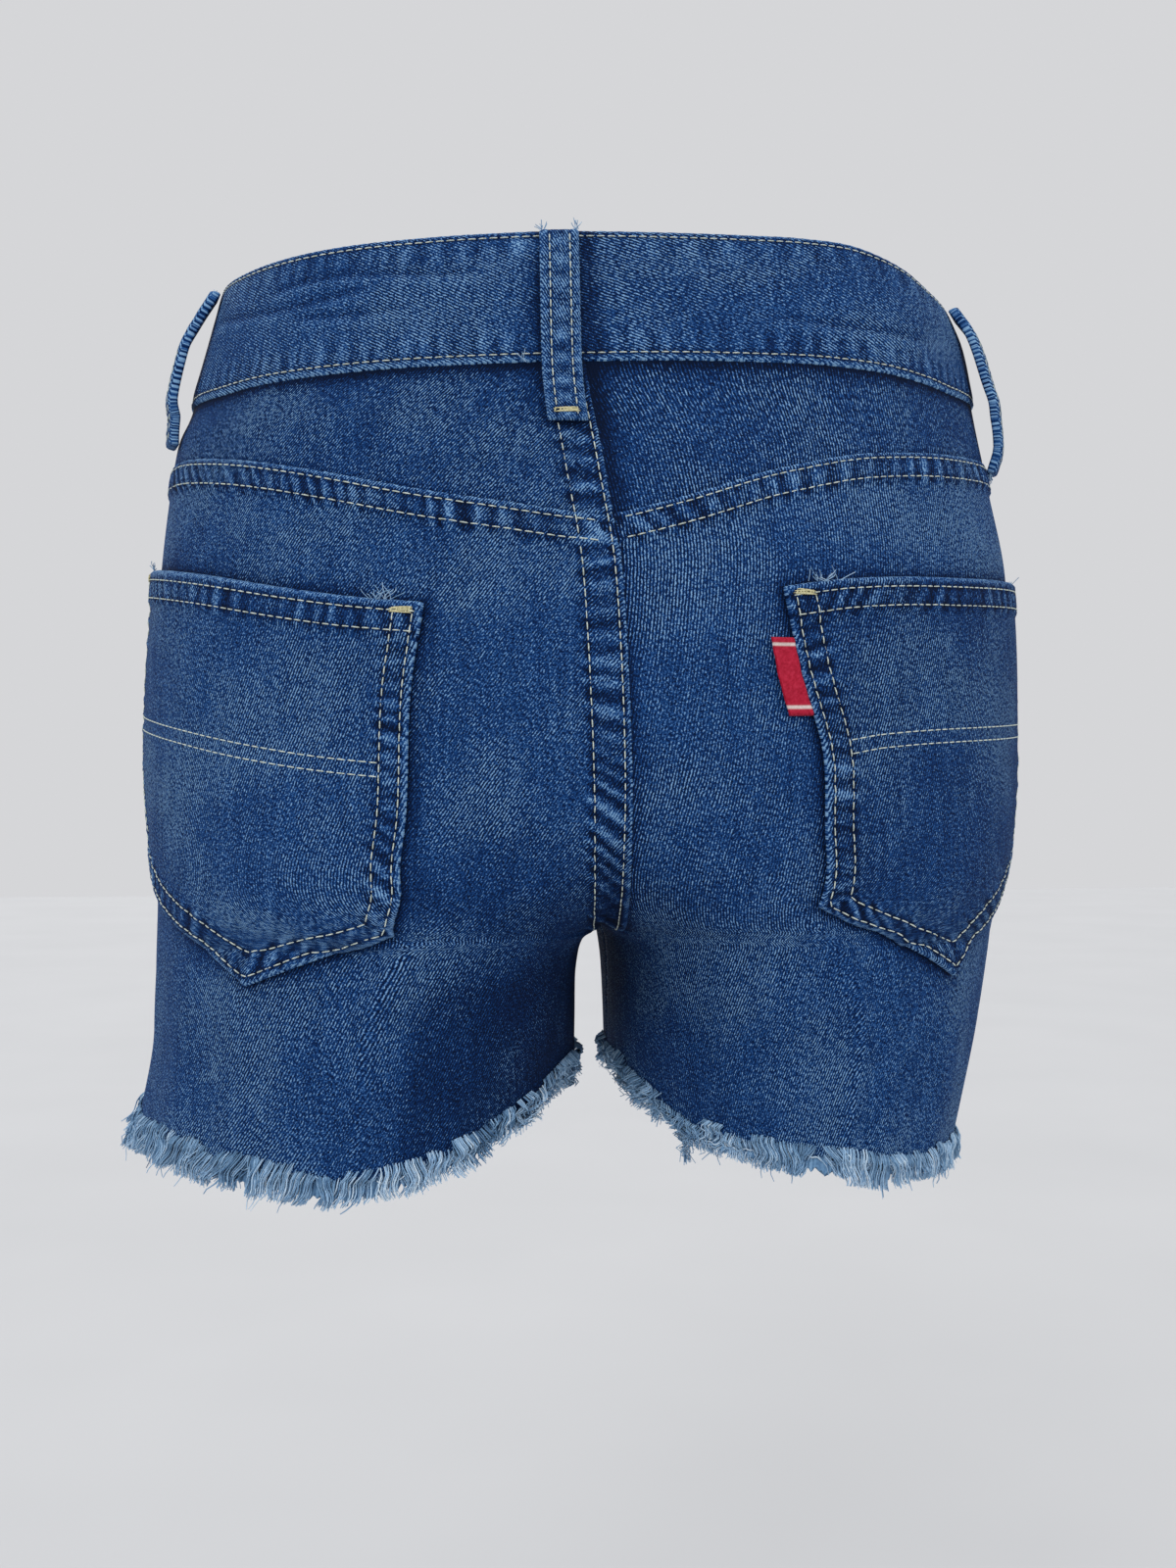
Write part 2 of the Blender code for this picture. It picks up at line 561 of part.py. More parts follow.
def make_fly_piece(name, from_t, to_t, foot_v, depth, cloth, mat):
    """A strip behind the centre front. from_t and to_t count from it, plus to the right."""
    v = np.linspace(V_BAND + 0.03, foot_v, 8)[:, None]
    t = np.linspace(from_t, to_t, 5)[None, :]
    t = np.where(t <= 0, t + 1.0, t - 1.0)
    add_object(name, wall(back_point(t, v, -depth), back_point(t, v, -depth - cloth)), mat)


def make_fly(cloth_mat, tape_mat, metal_mat):
    """Behind the centre front: a closed zip on its tape, and the shield behind it."""
    make_fly_piece("fly_zip", -0.03, 0.03, FLY_FOOT_V, TAPE_DEPTH, TAPE_CLOTH, tape_mat)
    make_fly_piece("fly_shield", -0.05, 0.035, FLY_FOOT_V + 0.12, SHIELD_DEPTH, CLOTH, cloth_mat)
    make_slider(SLIDER_DEPTH, metal_mat)


def front_frame(u, v, side, lift):
    """A point with its outward, downward and sideways directions, for a flat metal piece."""
    at = surface(side, np.array(u), np.array(v), lift)
    out = outward(side, np.array(u), np.array(v))
    down = surface(side, np.array(u), np.array(v + 0.05), lift) - at
    down -= out * (down @ out)
    down /= np.linalg.norm(down)
    return at, out, down, np.cross(out, down)


# The slider's body and its pull tab, in millimetres across and down.
SLIDER_OUTLINE = ((-3.6, -4.5), (3.6, -4.5), (3.6, 3.5), (2.2, 5.0), (2.2, 19.0), (-2.2, 19.0),
                  (-2.2, 5.0), (-3.6, 3.5))


def make_slider(depth, mat):
    """The zip's slider with its pull tab lying flat, as one plate."""
    at, out, down, across = front_frame(0.998, 1.25, LEFT, -depth)
    bm = bmesh.new()
    face = bm.faces.new([bm.verts.new(at + (across * x + down * y) * MM)
                         for x, y in SLIDER_OUTLINE])
    side_faces = bmesh.ops.extrude_face_region(bm, geom=[face])
    moved = [g for g in side_faces["geom"] if isinstance(g, bmesh.types.BMVert)]
    bmesh.ops.translate(bm, verts=moved, vec=-out * SLIDER_THICK)
    add_object("zip_slider", bm, mat)


# The button's turned profile: radius and height, in millimetres.
BUTTON_PROFILE = ((0.0, 3.0), (4.5, 2.9), (5.2, 2.3), (6.6, 2.4), (8.0, 1.9), (8.5, 1.2),
                  (8.0, 0.3), (0.0, 0.0))


def make_button(mat):
    """The waist button: a turned cap with a shallow ring, on the band's lapped end."""
    lift = BAND_PROUD + BAND_OVERLAP_RISE + 0.4 * MM
    at, out, down, across = front_frame(0.962, 0.5, RIGHT, lift)
    bm = bmesh.new()
    turns = 24
    rings = []
    for radius, height in BUTTON_PROFILE:
        if radius == 0:
            rings.append([bm.verts.new(at + out * height * MM)])
            continue
        ring = []
        for k in range(turns):
            angle = 2 * math.pi * k / turns
            flat = across * math.cos(angle) + down * math.sin(angle)
            ring.append(bm.verts.new(at + (flat * radius + out * height) * MM))
        rings.append(ring)
    for upper, lower in zip(rings, rings[1:]):
        for k in range(turns):
            n = (k + 1) % turns
            if len(upper) == 1:
                bm.faces.new((upper[0], lower[k], lower[n]))
            elif len(lower) == 1:
                bm.faces.new((upper[n], upper[k], lower[0]))
            else:
                bm.faces.new((upper[k], lower[k], lower[n], upper[n]))
    add_object("waist_button", bm, mat)


# ---- the frayed hem ----
def hem_ring(side, drop, lift):
    """A closed ring of points round one leg, a given distance below its cut edge.

    It follows the straight runs between the panels' own columns, so the gap stays even.
    """
    front = np.linspace(SIDE_SEAM_U + EDGE_U, 1 - INSEAM_U, FRONT_COLUMNS)
    columns = np.concatenate([[INSEAM_U], BACK_U[1:], front])
    low = np.full_like(columns, V_HEM)
    edge = surface(side, columns, low, lift)
    down = edge - surface(side, columns, low - 0.2, lift)
    down /= np.linalg.norm(down, axis=-1, keepdims=True)
    out = outward(side, columns, low)
    u = strip_u()
    along = [[np.interp(u, columns, data[:, axis]) for axis in range(3)]
             for data in (edge + down * drop, down, out)]
    return [np.stack(data, axis=-1) for data in along]


def strip_u():
    """u of each cell corner of the strip, all the way round a leg."""
    return np.clip((np.arange(STRIP_CELLS) + 0.5) / STRIP_CELLS, 2 * INSEAM_U, 1 - 2 * INSEAM_U)


def make_fringe(side, mat):
    """A strip parted from the cut edge, with a tapered thread drawn from every second face."""
    top_drop, low_drop = SEAM_GAP, SEAM_GAP + STRIP_HEIGHT
    rings = [hem_ring(side, top_drop, 0.0)[0], hem_ring(side, low_drop, 0.0)[0],
             hem_ring(side, low_drop, -CLOTH)[0], hem_ring(side, top_drop, -CLOTH)[0]]
    _, down, out = hem_ring(side, 0.0, 0.0)
    bm = bmesh.new()
    verts = [[bm.verts.new(p) for p in ring] for ring in rings]
    low_out, low_in = verts[1], verts[2]
    draw = random.Random(7 + side)
    u = strip_u()
    turn = (1 - 2 * u) * 180.0
    length = fringe_length[side](turn) * MM
    for k in range(STRIP_CELLS):
        n = (k + 1) % STRIP_CELLS
        for ring in range(4):
            if ring == 1:
                continue
            a, b = verts[ring], verts[(ring + 1) % 4]
            bm.faces.new((a[k], a[n], b[n], b[k]))
        root = [low_out[k], low_out[n], low_in[n], low_in[k]]
        if k % 2:
            bm.faces.new(root)
            continue
        hang = (length[k] - low_drop) * draw.uniform(0.85, 1.1)
        lean = draw.uniform(-0.12, 0.12)
        centre = sum((v.co for v in root), root[0].co * 0) / 4
        along = np.array(low_out[n].co - low_out[k].co)
        along /= np.linalg.norm(along)
        flare = STRAND_FLARE * draw.uniform(0.4, 1.0) if 0.2 < u[k] < 0.8 else 0.1
        way = down[k] + out[k] * flare + along * lean
        way /= np.linalg.norm(way)
        tip = np.array(centre) + way * hang
        ends = [bm.verts.new(tip + 0.35 * (np.array(v.co) - np.array(centre))) for v in root]
        for i in range(4):
            j = (i + 1) % 4
            bm.faces.new((root[i], root[j], ends[j], ends[i]))
        bm.faces.new(ends)
    add_object(f"fringe_{NAMES[side]}", bm, mat)


def main():
    for obj in list(bpy.data.objects):
        bpy.data.objects.remove(obj)
    denim = material("denim", (0.045, 0.105, 0.255), 0.85)
    denim_light = material("denim_edge", (0.10, 0.20, 0.38), 0.85)
    thread = material("frayed_thread", (0.24, 0.38, 0.58), 0.9)
    tab_red = material("tab_red", (0.55, 0.02, 0.05), 0.7)
    tape = material("zip_tape", (0.03, 0.06, 0.12), 0.8)
    metal = material("button_metal", (0.35, 0.25, 0.14), 0.35, 1.0)

    make_waistband(denim)
    for side in (LEFT, RIGHT):
        make_yoke(side, denim)
        make_back_panel(side, denim)
        make_front_panel(side, denim)
        make_front_facing(side, denim)
        make_pocket(side, denim_light)
        make_fringe(side, thread)
    for name, t_top, t_foot, v_foot, bow in LOOPS:
        make_loop(name, t_top, t_foot, v_foot, bow, denim_light)
    make_tab(tab_red)
    make_fly(denim, tape, metal)
    make_button(metal)


main()
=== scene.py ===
"""The looks of a pair of denim cut-off shorts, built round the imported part.

Metres, +Z up. The front faces -Y and the wearer's left is +X. Each half of the garment is one
surface: u runs from the centre back, or the inseam, round the side to the centre front, and v
runs down from the waist to the hem. t is u on the left half and minus u on the right half.
"""
import math

import bpy
import numpy as np
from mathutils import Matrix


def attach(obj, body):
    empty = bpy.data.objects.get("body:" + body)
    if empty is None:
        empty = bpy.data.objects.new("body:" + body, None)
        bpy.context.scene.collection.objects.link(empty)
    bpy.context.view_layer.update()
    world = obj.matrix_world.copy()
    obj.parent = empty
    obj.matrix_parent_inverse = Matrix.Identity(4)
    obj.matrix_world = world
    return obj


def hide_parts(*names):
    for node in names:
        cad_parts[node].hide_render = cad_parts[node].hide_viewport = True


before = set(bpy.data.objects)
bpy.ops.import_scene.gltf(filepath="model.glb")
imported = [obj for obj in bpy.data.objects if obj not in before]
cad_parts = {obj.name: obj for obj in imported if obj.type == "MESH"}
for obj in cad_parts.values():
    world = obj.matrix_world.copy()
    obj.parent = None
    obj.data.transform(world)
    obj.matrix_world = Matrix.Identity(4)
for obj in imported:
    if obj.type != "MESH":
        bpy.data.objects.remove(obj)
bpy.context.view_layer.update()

MM = 0.001
LEFT, RIGHT = 1, -1
NAMES = {LEFT: "left", RIGHT: "right"}

# ---- driving sizes, in metres ----
CLOTH = 1.4 * MM          # wall of one panel
BAND_CLOTH = 2.6 * MM     # wall of the waistband, two layers
SEAM_GAP = 0.3 * MM       # space between neighbouring pieces
HALF_GAP = 0.5 * SEAM_GAP
ROUND = 1.06              # fullness of a section: 1 is an ellipse, more is squarer
V_WAIST, V_BAND, V_CROTCH, V_HEM = 0.0, 1.0, 8.0, 12.0
SIDE_SEAM_U = 0.53        # the side seam lies just in front of the widest point
SWING = 1.5               # how closely a section's extra turn gathers near its ends

# Sections from the waist down. Heights and widths in millimetres, measured from the origin;
# angle is how far round, from the side, a half reaches before it meets the other half
# (90: the centre line) or closes on itself (180: a leg); bulge is the share of its width at
# which a half is deepest, counted from its inner end.
SECTIONS = (
    # v, left_z, right_z, back_z, front_z, left_w, right_w, back_d, front_d, angle, bulge
    (0.0, -4.0, -10.0, -3.0, -10.0, 136.0, 138.5, 97.0, 95.0, 90.0, 0),
    (0.4, -18.0, -21.0, -20.0, -26.0, 140.5, 143.5, 100.5, 97.0, 90.0, 0),
    (1.0, -40.0, -41.0, -47.0, -52.0, 147.5, 147.5, 105.0, 100.0, 90.0, 0),
    (2.0, -74.0, -74.0, -82.0, -86.0, 155.5, 153.8, 112.0, 104.0, 90.0, 0),
    (3.0, -108.0, -108.0, -116.0, -116.0, 159.5, 159.6, 117.0, 106.0, 91.0, 0.012),
    (4.0, -143.0, -143.0, -150.0, -148.0, 161.7, 160.8, 118.5, 105.5, 94.0, 0.06),
    (5.0, -176.0, -176.0, -182.0, -178.0, 162.5, 160.2, 117.0, 103.5, 101.0, 0.155),
    (6.0, -203.0, -203.0, -208.0, -203.0, 161.1, 157.2, 114.3, 101.0, 114.0, 0.28),
    (7.0, -222.0, -222.0, -225.0, -221.0, 159.8, 152.6, 112.3, 99.0, 137.0, 0.375),
    (7.6, -231.0, -231.0, -232.0, -230.0, 159.6, 150.1, 111.4, 98.2, 157.0, 0.42),
    (8.0, -238.0, -238.0, -235.2, -235.2, 159.6, 148.0, 110.6, 97.6, 180.0, 0.45),
    (10.0, 0.0, 0.0, 0.0, 0.0, 160.0, 141.5, 105.0, 94.0, 180.0, 0.52),
    (12.0, 0.0, 0.0, 0.0, 0.0, 166.0, 134.0, 100.0, 92.0, 180.0, 0.52),
)

# How far the two centre lines wander from x = 0, in millimetres: the waist sits twisted.
CENTRE_DRIFT = (
    # v,  back, front
    (0.0, 22.4, -14.0),
    (1.0, 20.5, -12.0),
    (2.0, 15.5, -8.0),
    (3.0, 10.5, -5.0),
    (4.0, 8.5, -3.0),
    (5.0, 7.0, -2.0),
    (6.0, 6.0, -1.0),
    (7.0, 4.0, 0.0),
    (8.0, 0.0, 0.0),
)

# How far the waistband sits above or below its sections, in millimetres: the band tilts and
# its edges swing. t is u on the left half and minus u on the right half.
LEVEL = (
    # t, top edge, lower edge
    (-1.00, 0.0, 0.0),
    (-0.46, 0.0, 0.2),
    (-0.40, 0.6, -0.6),
    (-0.33, 2.5, -1.2),
    (-0.27, 6.2, 0.4),
    (-0.22, 7.3, 1.6),
    (-0.165, 5.3, 1.8),
    (-0.12, 2.8, 1.1),
    (-0.06, 0.2, 0.0),
    (0.00, -1.6, -1.7),
    (0.07, -3.1, -3.4),
    (0.14, -3.7, -5.0),
    (0.20, -3.6, -6.4),
    (0.28, -3.3, -8.0),
    (0.35, -2.7, -9.2),
    (0.42, -1.2, -8.4),
    (0.50, -0.3, -6.8),
    (0.60, 0.0, -4.6),
    (0.72, 0.0, -2.0),
    (0.86, 0.0, 0.0),
    (1.00, 0.0, 0.0),
)

# Fullness of the inner quarter of a half, where the seat runs down into the leg.
INNER_ROUND = ((0.0, ROUND), (4.0, 1.08), (5.0, 1.12), (6.0, 1.19), (7.0, 1.27), (8.0, 1.33),
               (9.5, 1.26), (12.0, 1.15))

# Half the space between the legs, in millimetres.
LEG_SPACE = ((8.0, 0.15), (8.10, 2.6), (8.3, 5.0), (8.7, 6.4), (9.6, 7.2), (12.0, 7.4))

# Height of the cloth's lower edge round each leg, in millimetres. Turn is in degrees from the
# side: plus is towards the back, minus towards the front, and 180 is the inseam.
HEM = (
    # turn, left_z, right_z
    (-180.0, -285.0, -285.0),
    (-140.0, -291.0, -292.0),
    (-90.0, -299.0, -300.0),
    (-35.0, -303.0, -308.0),
    (0.0, -303.0, -312.0),
    (20.0, -301.2, -313.0),
    (40.0, -303.0, -311.6),
    (60.0, -305.4, -310.4),
    (75.0, -308.2, -310.2),
    (90.0, -310.2, -308.0),
    (100.0, -308.2, -306.0),
    (110.0, -303.8, -304.4),
    (120.0, -298.2, -303.4),
    (128.0, -294.2, -302.4),
    (135.0, -291.0, -300.6),
    (142.0, -287.8, -297.6),
    (150.0, -285.2, -293.8),
    (158.0, -284.2, -290.2),
    (168.0, -284.4, -287.2),
    (180.0, -285.0, -285.0),
)

# The yoke seam: v along the back from the centre (u = 0) to the side seam.
YOKE_SEAM = (
    # u,   left_v, right_v
    (0.00, 2.51, 2.53),
    (0.05, 2.42, 2.31),
    (0.12, 2.30, 2.00),
    (0.20, 2.13, 1.80),
    (0.30, 1.97, 1.735),
    (0.40, 1.89, 1.70),
    (0.53, 1.86, 1.72),
)

# The front pocket mouth: u of the front panel's edge from the waistband to the side seam.
MOUTH = ((1.0, 0.735), (1.4, 0.715), (1.8, 0.685), (2.2, 0.640), (2.5, 0.590), (2.7, 0.535))
MOUTH_V = 2.7

# Patch pocket outlines on the back, as u and v along each edge.
POCKET_TOP = {
    LEFT: ((0.0, 0.117, 3.372), (0.15, 0.169, 3.332), (0.30, 0.222, 3.263),
           (0.55, 0.311, 3.131), (1.0, 0.475, 2.960)),
    RIGHT: ((0.0, 0.112, 3.176), (0.15, 0.157, 3.096), (0.30, 0.209, 3.066),
            (0.55, 0.296, 3.051), (1.0, 0.455, 3.020)),
}
POCKET_INNER = {
    LEFT: ((0.0, 0.117, 3.372), (0.25, 0.127, 4.202), (0.57, 0.134, 5.402),
           (0.80, 0.154, 6.433), (1.0, 0.197, 7.580)),
    RIGHT: ((0.0, 0.1055, 3.176), (0.25, 0.1135, 3.952), (0.50, 0.129, 4.852),
            (0.68, 0.1325, 5.562), (1.0, 0.1585, 6.940)),
}
POCKET_OUTER = {
    LEFT: ((0.0, 0.475, 2.960), (0.5, 0.479, 4.600), (1.0, 0.448, 6.453)),
    RIGHT: ((0.0, 0.455, 3.020), (0.5, 0.448, 4.600), (1.0, 0.410, 6.200)),
}
POCKET_FOOT = {
    LEFT: ((0.0, 0.197, 7.580), (0.25, 0.244, 7.964), (0.50, 0.267, 8.266),
           (0.62, 0.296, 8.645), (0.80, 0.370, 7.559), (1.0, 0.448, 6.453)),
    RIGHT: ((0.0, 0.1585, 6.940), (0.20, 0.196, 7.425), (0.40, 0.245, 7.861),
            (0.60, 0.291, 8.582), (0.80, 0.354, 7.320), (1.0, 0.410, 6.200)),
}
POCKET_CLOTH = 2.0 * MM
POCKET_LIFT = 0.6 * MM

# Belt loops: where each lies (t: u from the centre back, plus on the left), its tilt, its length
# in v, and how far its middle bows away from the band, in millimetres at shares of its length.
LOOP_WIDTH = 12.6 * MM
LOOP_CLOTH = 1.9 * MM
LOOPS = (
    # name, t_top, t_foot, v_foot, bow
    ("belt_loop_back", 0.000, 0.006, 1.62, ((0.0, 0.0), (0.5, 0.7), (1.0, 0.0))),
    ("belt_loop_side_left", 0.443, 0.447, 1.66,
     ((0.0, 0.2), (0.15, 3.2), (0.32, 5.6), (0.52, 5.2), (0.75, 3.0), (1.0, 0.0))),
    ("belt_loop_side_right", -0.385, -0.412, 1.78,
     ((0.0, 0.2), (0.18, 2.6), (0.42, 4.2), (0.66, 5.8), (0.85, 4.6), (1.0, 0.3))),
    ("belt_loop_front_left", 0.740, 0.740, 1.40, ((0.0, 0.0), (0.5, 1.4), (1.0, 0.0))),
    ("belt_loop_front_right", -0.740, -0.740, 1.40, ((0.0, 0.0), (0.5, 1.4), (1.0, 0.0))),
)
BAND_PROUD = 1.2 * MM     # how far the waistband stands above the panels below it
BAND_OVERLAP_U = 0.075    # the buttoned end laps this far past the centre front
BAND_OVERLAP_RISE = 3.3 * MM
LAID_ON = 0.6 * MM        # clearance of a piece that lies on a curved panel

# The fringe below each cut edge.
FRINGE_LENGTH = (
    # turn, left, right: how far the threads hang below the cut, in millimetres
    (-180.0, 8.0, 8.0),
    (-120.0, 11.5, 11.0),
    (-60.0, 13.5, 12.0),
    (0.0, 13.5, 10.5),
    (35.0, 12.5, 9.0),
    (60.0, 10.8, 8.8),
    (100.0, 10.5, 10.0),
    (140.0, 7.8, 7.6),
    (180.0, 8.0, 8.0),
)

FOLDS = (
    # side, u, z, half_u, half_z, lean (u for each mm of z), height; lengths in millimetres
    (LEFT, 0.225, -285.0, 0.016, 48.0, 0.0, 2.4),
    (LEFT, 0.185, -290.0, 0.016, 42.0, 0.0, -1.6),
    (LEFT, 0.360, -292.0, 0.020, 36.0, 0.0002, 1.4),
    (RIGHT, 0.130, -248.0, 0.055, 16.0, -0.0025, 1.8),
    (RIGHT, 0.190, -272.0, 0.045, 18.0, -0.0020, -1.4),
    (RIGHT, 0.300, -295.0, 0.020, 34.0, 0.0, 1.4),
    (LEFT, 0.740, -285.0, 0.018, 45.0, 0.0, 2.0),
    (LEFT, 0.840, -252.0, 0.060, 26.0, 0.0010, 1.0),
    (RIGHT, 0.760, -280.0, 0.018, 42.0, 0.0, 1.8),
    (RIGHT, 0.845, -250.0, 0.060, 26.0, 0.0010, 1.0),
)


def smooth_curve(rows, column):
    """A monotone cubic through one column of a table whose first column is the position."""
    xs = np.array([row[0] for row in rows], float)
    ys = np.array([row[column] for row in rows], float)
    step = np.diff(xs)
    rise = np.diff(ys) / step
    slope = np.zeros_like(ys)
    inner = rise[:-1] * rise[1:] > 0
    w1 = 2 * step[1:] + step[:-1]
    w2 = step[1:] + 2 * step[:-1]
    with np.errstate(divide="ignore", invalid="ignore"):
        mean = (w1 + w2) / (w1 / rise[:-1] + w2 / rise[1:])
    slope[1:-1] = np.where(inner, mean, 0.0)
    slope[0], slope[-1] = rise[0], rise[-1]

    def value(at):
        at = np.clip(np.asarray(at, float), xs[0], xs[-1])
        i = np.clip(np.searchsorted(xs, at, side="right") - 1, 0, len(step) - 1)
        t = (at - xs[i]) / step[i]
        h = step[i]
        return ((2 * t**3 - 3 * t**2 + 1) * ys[i] + (t**3 - 2 * t**2 + t) * h * slope[i]
                + (3 * t**2 - 2 * t**3) * ys[i + 1] + (t**3 - t**2) * h * slope[i + 1])
    return value


ABOVE_LEGS = [row for row in SECTIONS if row[0] <= V_CROTCH]
side_z = {LEFT: smooth_curve(ABOVE_LEGS, 1), RIGHT: smooth_curve(ABOVE_LEGS, 2)}
back_z = smooth_curve(ABOVE_LEGS, 3)
front_z = smooth_curve(ABOVE_LEGS, 4)
width = {LEFT: smooth_curve(SECTIONS, 5), RIGHT: smooth_curve(SECTIONS, 6)}
back_depth = smooth_curve(SECTIONS, 7)
front_depth = smooth_curve(SECTIONS, 8)
reach = smooth_curve(SECTIONS, 9)
bulge = smooth_curve(SECTIONS, 10)
drift_back = smooth_curve(CENTRE_DRIFT, 1)
drift_front = smooth_curve(CENTRE_DRIFT, 2)
leg_space = smooth_curve(LEG_SPACE, 1)
inner_round = smooth_curve(INNER_ROUND, 1)
level_top = smooth_curve(LEVEL, 1)
level_low = smooth_curve(LEVEL, 2)
hem = {LEFT: smooth_curve(HEM, 1), RIGHT: smooth_curve(HEM, 2)}
yoke_seam = {LEFT: smooth_curve(YOKE_SEAM, 1), RIGHT: smooth_curve(YOKE_SEAM, 2)}
mouth_u = smooth_curve(MOUTH, 1)
fringe_length = {LEFT: smooth_curve(FRINGE_LENGTH, 1), RIGHT: smooth_curve(FRINGE_LENGTH, 2)}


def ease(t):
    """0 to 1 with level ends."""
    t = np.clip(t, 0.0, 1.0)
    return t * t * (3 - 2 * t)


def full(value, fullness):
    """A sine or cosine, swelled so that a circle turns into a rounded square."""
    return np.sign(value) * np.abs(value) ** (1 / fullness)


def level(t, v):
    """How far the cloth at t and v sits above its section, in millimetres."""
    upper, lower = level_top(t), level_low(t)
    share = np.clip(v / V_BAND, 0, 1)
    return (upper + (lower - upper) * share) * (1 - ease((v - V_BAND) / 0.68))


def fold_height(side, u, z):
    """Soft ridges and troughs, in metres, by u and by height."""
    total = np.zeros(np.broadcast(u, z).shape)
    for fold_side, fold_u, fold_z, half_u, half_z, lean, height in FOLDS:
        if fold_side == side:
            rise = z / MM - fold_z
            across = (u - fold_u - lean * rise) / half_u
            total = total + height * MM * np.exp(-across**2 - (rise / half_z) ** 2)
    return total


def form(side, u, v):
    """Points of one half's outer face, without folds. Arrays in, an (..., 3) array out."""
    u, v = np.broadcast_arrays(np.asarray(u, float), np.asarray(v, float))
    back = u <= 0.5
    part = np.where(back, 1 - 2 * u, 2 * u - 1)          # 0 at the side, 1 at the centre line
    last = np.radians(reach(v))
    quarter = 0.5 * math.pi
    angle = part * quarter + part**SWING * (last - quarter)
    drift = np.where(back, drift_back(v), drift_front(v)) * side
    inner = np.where(v < V_CROTCH, drift + HALF_GAP / MM, leg_space(v))
    wide = width[side](v)
    fullness = np.where(angle > quarter, inner_round(v), ROUND)
    inside = bulge(v) * (wide - inner)                   # from the deepest point to either end
    outside = wide - inner - inside
    closing = np.where(last > quarter + 1e-9, -full(np.cos(last), inner_round(v)), 1.0)
    radius = np.where(angle > quarter, inside / closing, outside)
    x = inner + inside + radius * full(np.cos(angle), fullness)
    depth = np.where(back, back_depth(v), -front_depth(v))
    y = depth * full(np.sin(angle), fullness)
    end_z = np.where(back, back_z(v), front_z(v))
    z = side_z[side](v) + (end_z - side_z[side](v)) * ease(part)
    turn = np.degrees(angle) * np.where(back, 1, -1)
    down = np.clip((v - V_CROTCH) / (V_HEM - V_CROTCH), 0, 1)
    z = z + down * (hem[side](turn) - z) + level(side * u, v)
    return np.stack([side * x, y, z], axis=-1) * MM


def outward(side, u, v):
    """Unit normals of one half's outer face."""
    du, dv = 0.002, 0.02
    along = form(side, np.clip(u + du, 0, 1), v) - form(side, np.clip(u - du, 0, 1), v)
    down = form(side, u, np.clip(v + dv, 0, V_HEM)) - form(side, u, np.clip(v - dv, 0, V_HEM))
    n = np.cross(along, down) * side
    return n / np.maximum(np.linalg.norm(n, axis=-1, keepdims=True), 1e-12)


def surface(side, u, v, lift=0.0):
    """Points of one half moved out by lift, with its folds, kept on its own side of the centre."""
    u, v = np.broadcast_arrays(np.asarray(u, float), np.asarray(v, float))
    points = form(side, u, v)
    rise = fold_height(side, u, points[..., 2]) + lift
    points = points + outward(side, u, v) * rise[..., None]
    drift = np.where(u <= 0.5, drift_back(v), drift_front(v)) * side * MM
    low = np.where(v < V_CROTCH, drift + HALF_GAP, HALF_GAP)
    points[..., 0] = side * np.maximum(side * points[..., 0], low)
    return points


EDGE_V = 0.0045                          # half a seam gap, in v
EDGE_U = 0.0005                          # half a seam gap, in u
INSEAM_U = 0.0002

TAPE_CLOTH = 1.0 * MM
TAPE_DEPTH = CLOTH + 4.4 * MM            # how far behind the fronts' outer face each piece lies
SHIELD_DEPTH = TAPE_DEPTH + TAPE_CLOTH + 0.6 * MM
TAB_CLOTH = 1.2 * MM
TAB_SPAN = (0.155, 0.375)                # shares of the pocket's inner edge it runs between
TAB_REACH_U = (0.0164, 0.0008)           # from its outer edge to the pocket's edge, in u



def pocket_grid(side, columns, rows):
    """u and v over a patch pocket, blended from its four edges."""
    a, b = columns[None, :], rows[:, None]
    grids = []
    for column in (1, 2):
        top = smooth_curve(POCKET_TOP[side], column)(a)
        foot_rows = np.array(POCKET_FOOT[side])
        foot = np.interp(a, foot_rows[:, 0], foot_rows[:, column])
        inner = smooth_curve(POCKET_INNER[side], column)(b)
        outer = smooth_curve(POCKET_OUTER[side], column)(b)
        corners = ((1 - a) * (1 - b) * top[0, 0] + a * (1 - b) * top[0, -1]
                   + (1 - a) * b * foot[0, 0] + a * b * foot[0, -1])
        grids.append((1 - b) * top + b * foot + (1 - a) * inner + a * outer - corners)
    return grids


# ---- lengths on the cloth, in millimetres ----
ROWS_V = np.linspace(0.0, V_HEM, 49)
ROW_U = np.linspace(0.0, 1.0, 81)


def measure_cloth():
    """At each of ROWS_V: length round one half up to each of ROW_U, and length down its side."""
    rows = np.array([form(LEFT, ROW_U, v) for v in ROWS_V])
    across = np.linalg.norm(np.diff(rows, axis=1), axis=-1) / MM
    down = np.linalg.norm(np.diff(rows[:, 30:50], axis=0), axis=-1).mean(1) / MM
    arcs = np.concatenate([np.zeros((len(ROWS_V), 1)), np.cumsum(across, axis=1)], axis=1)
    return arcs, np.concatenate([[0.0], np.cumsum(down)])


ARCS, DOWN = measure_cloth()
GIRTH = ARCS[:, -1]


def girth(v):
    return np.interp(v, ROWS_V, GIRTH)


NEAR_T = 0.055            # the centre seam stays within this much t


def arc(t, v):
    """Millimetres round the cloth from the centre back to t, negative on the right half."""
    t, v = np.broadcast_arrays(np.asarray(t, float), np.asarray(v, float))
    u = np.clip(np.abs(t), 0, 1)
    row = np.clip(v / V_HEM, 0, 1) * (len(ROWS_V) - 1)
    col = u * (len(ROW_U) - 1)
    i = np.minimum(row.astype(int), len(ROWS_V) - 2)
    j = np.minimum(col.astype(int), len(ROW_U) - 2)
    row, col = row - i, col - j
    upper = ARCS[i, j] * (1 - col) + ARCS[i, j + 1] * col
    lower = ARCS[i + 1, j] * (1 - col) + ARCS[i + 1, j + 1] * col
    return np.sign(t) * (upper * (1 - row) + lower * row + (np.abs(t) - u) * girth(v))


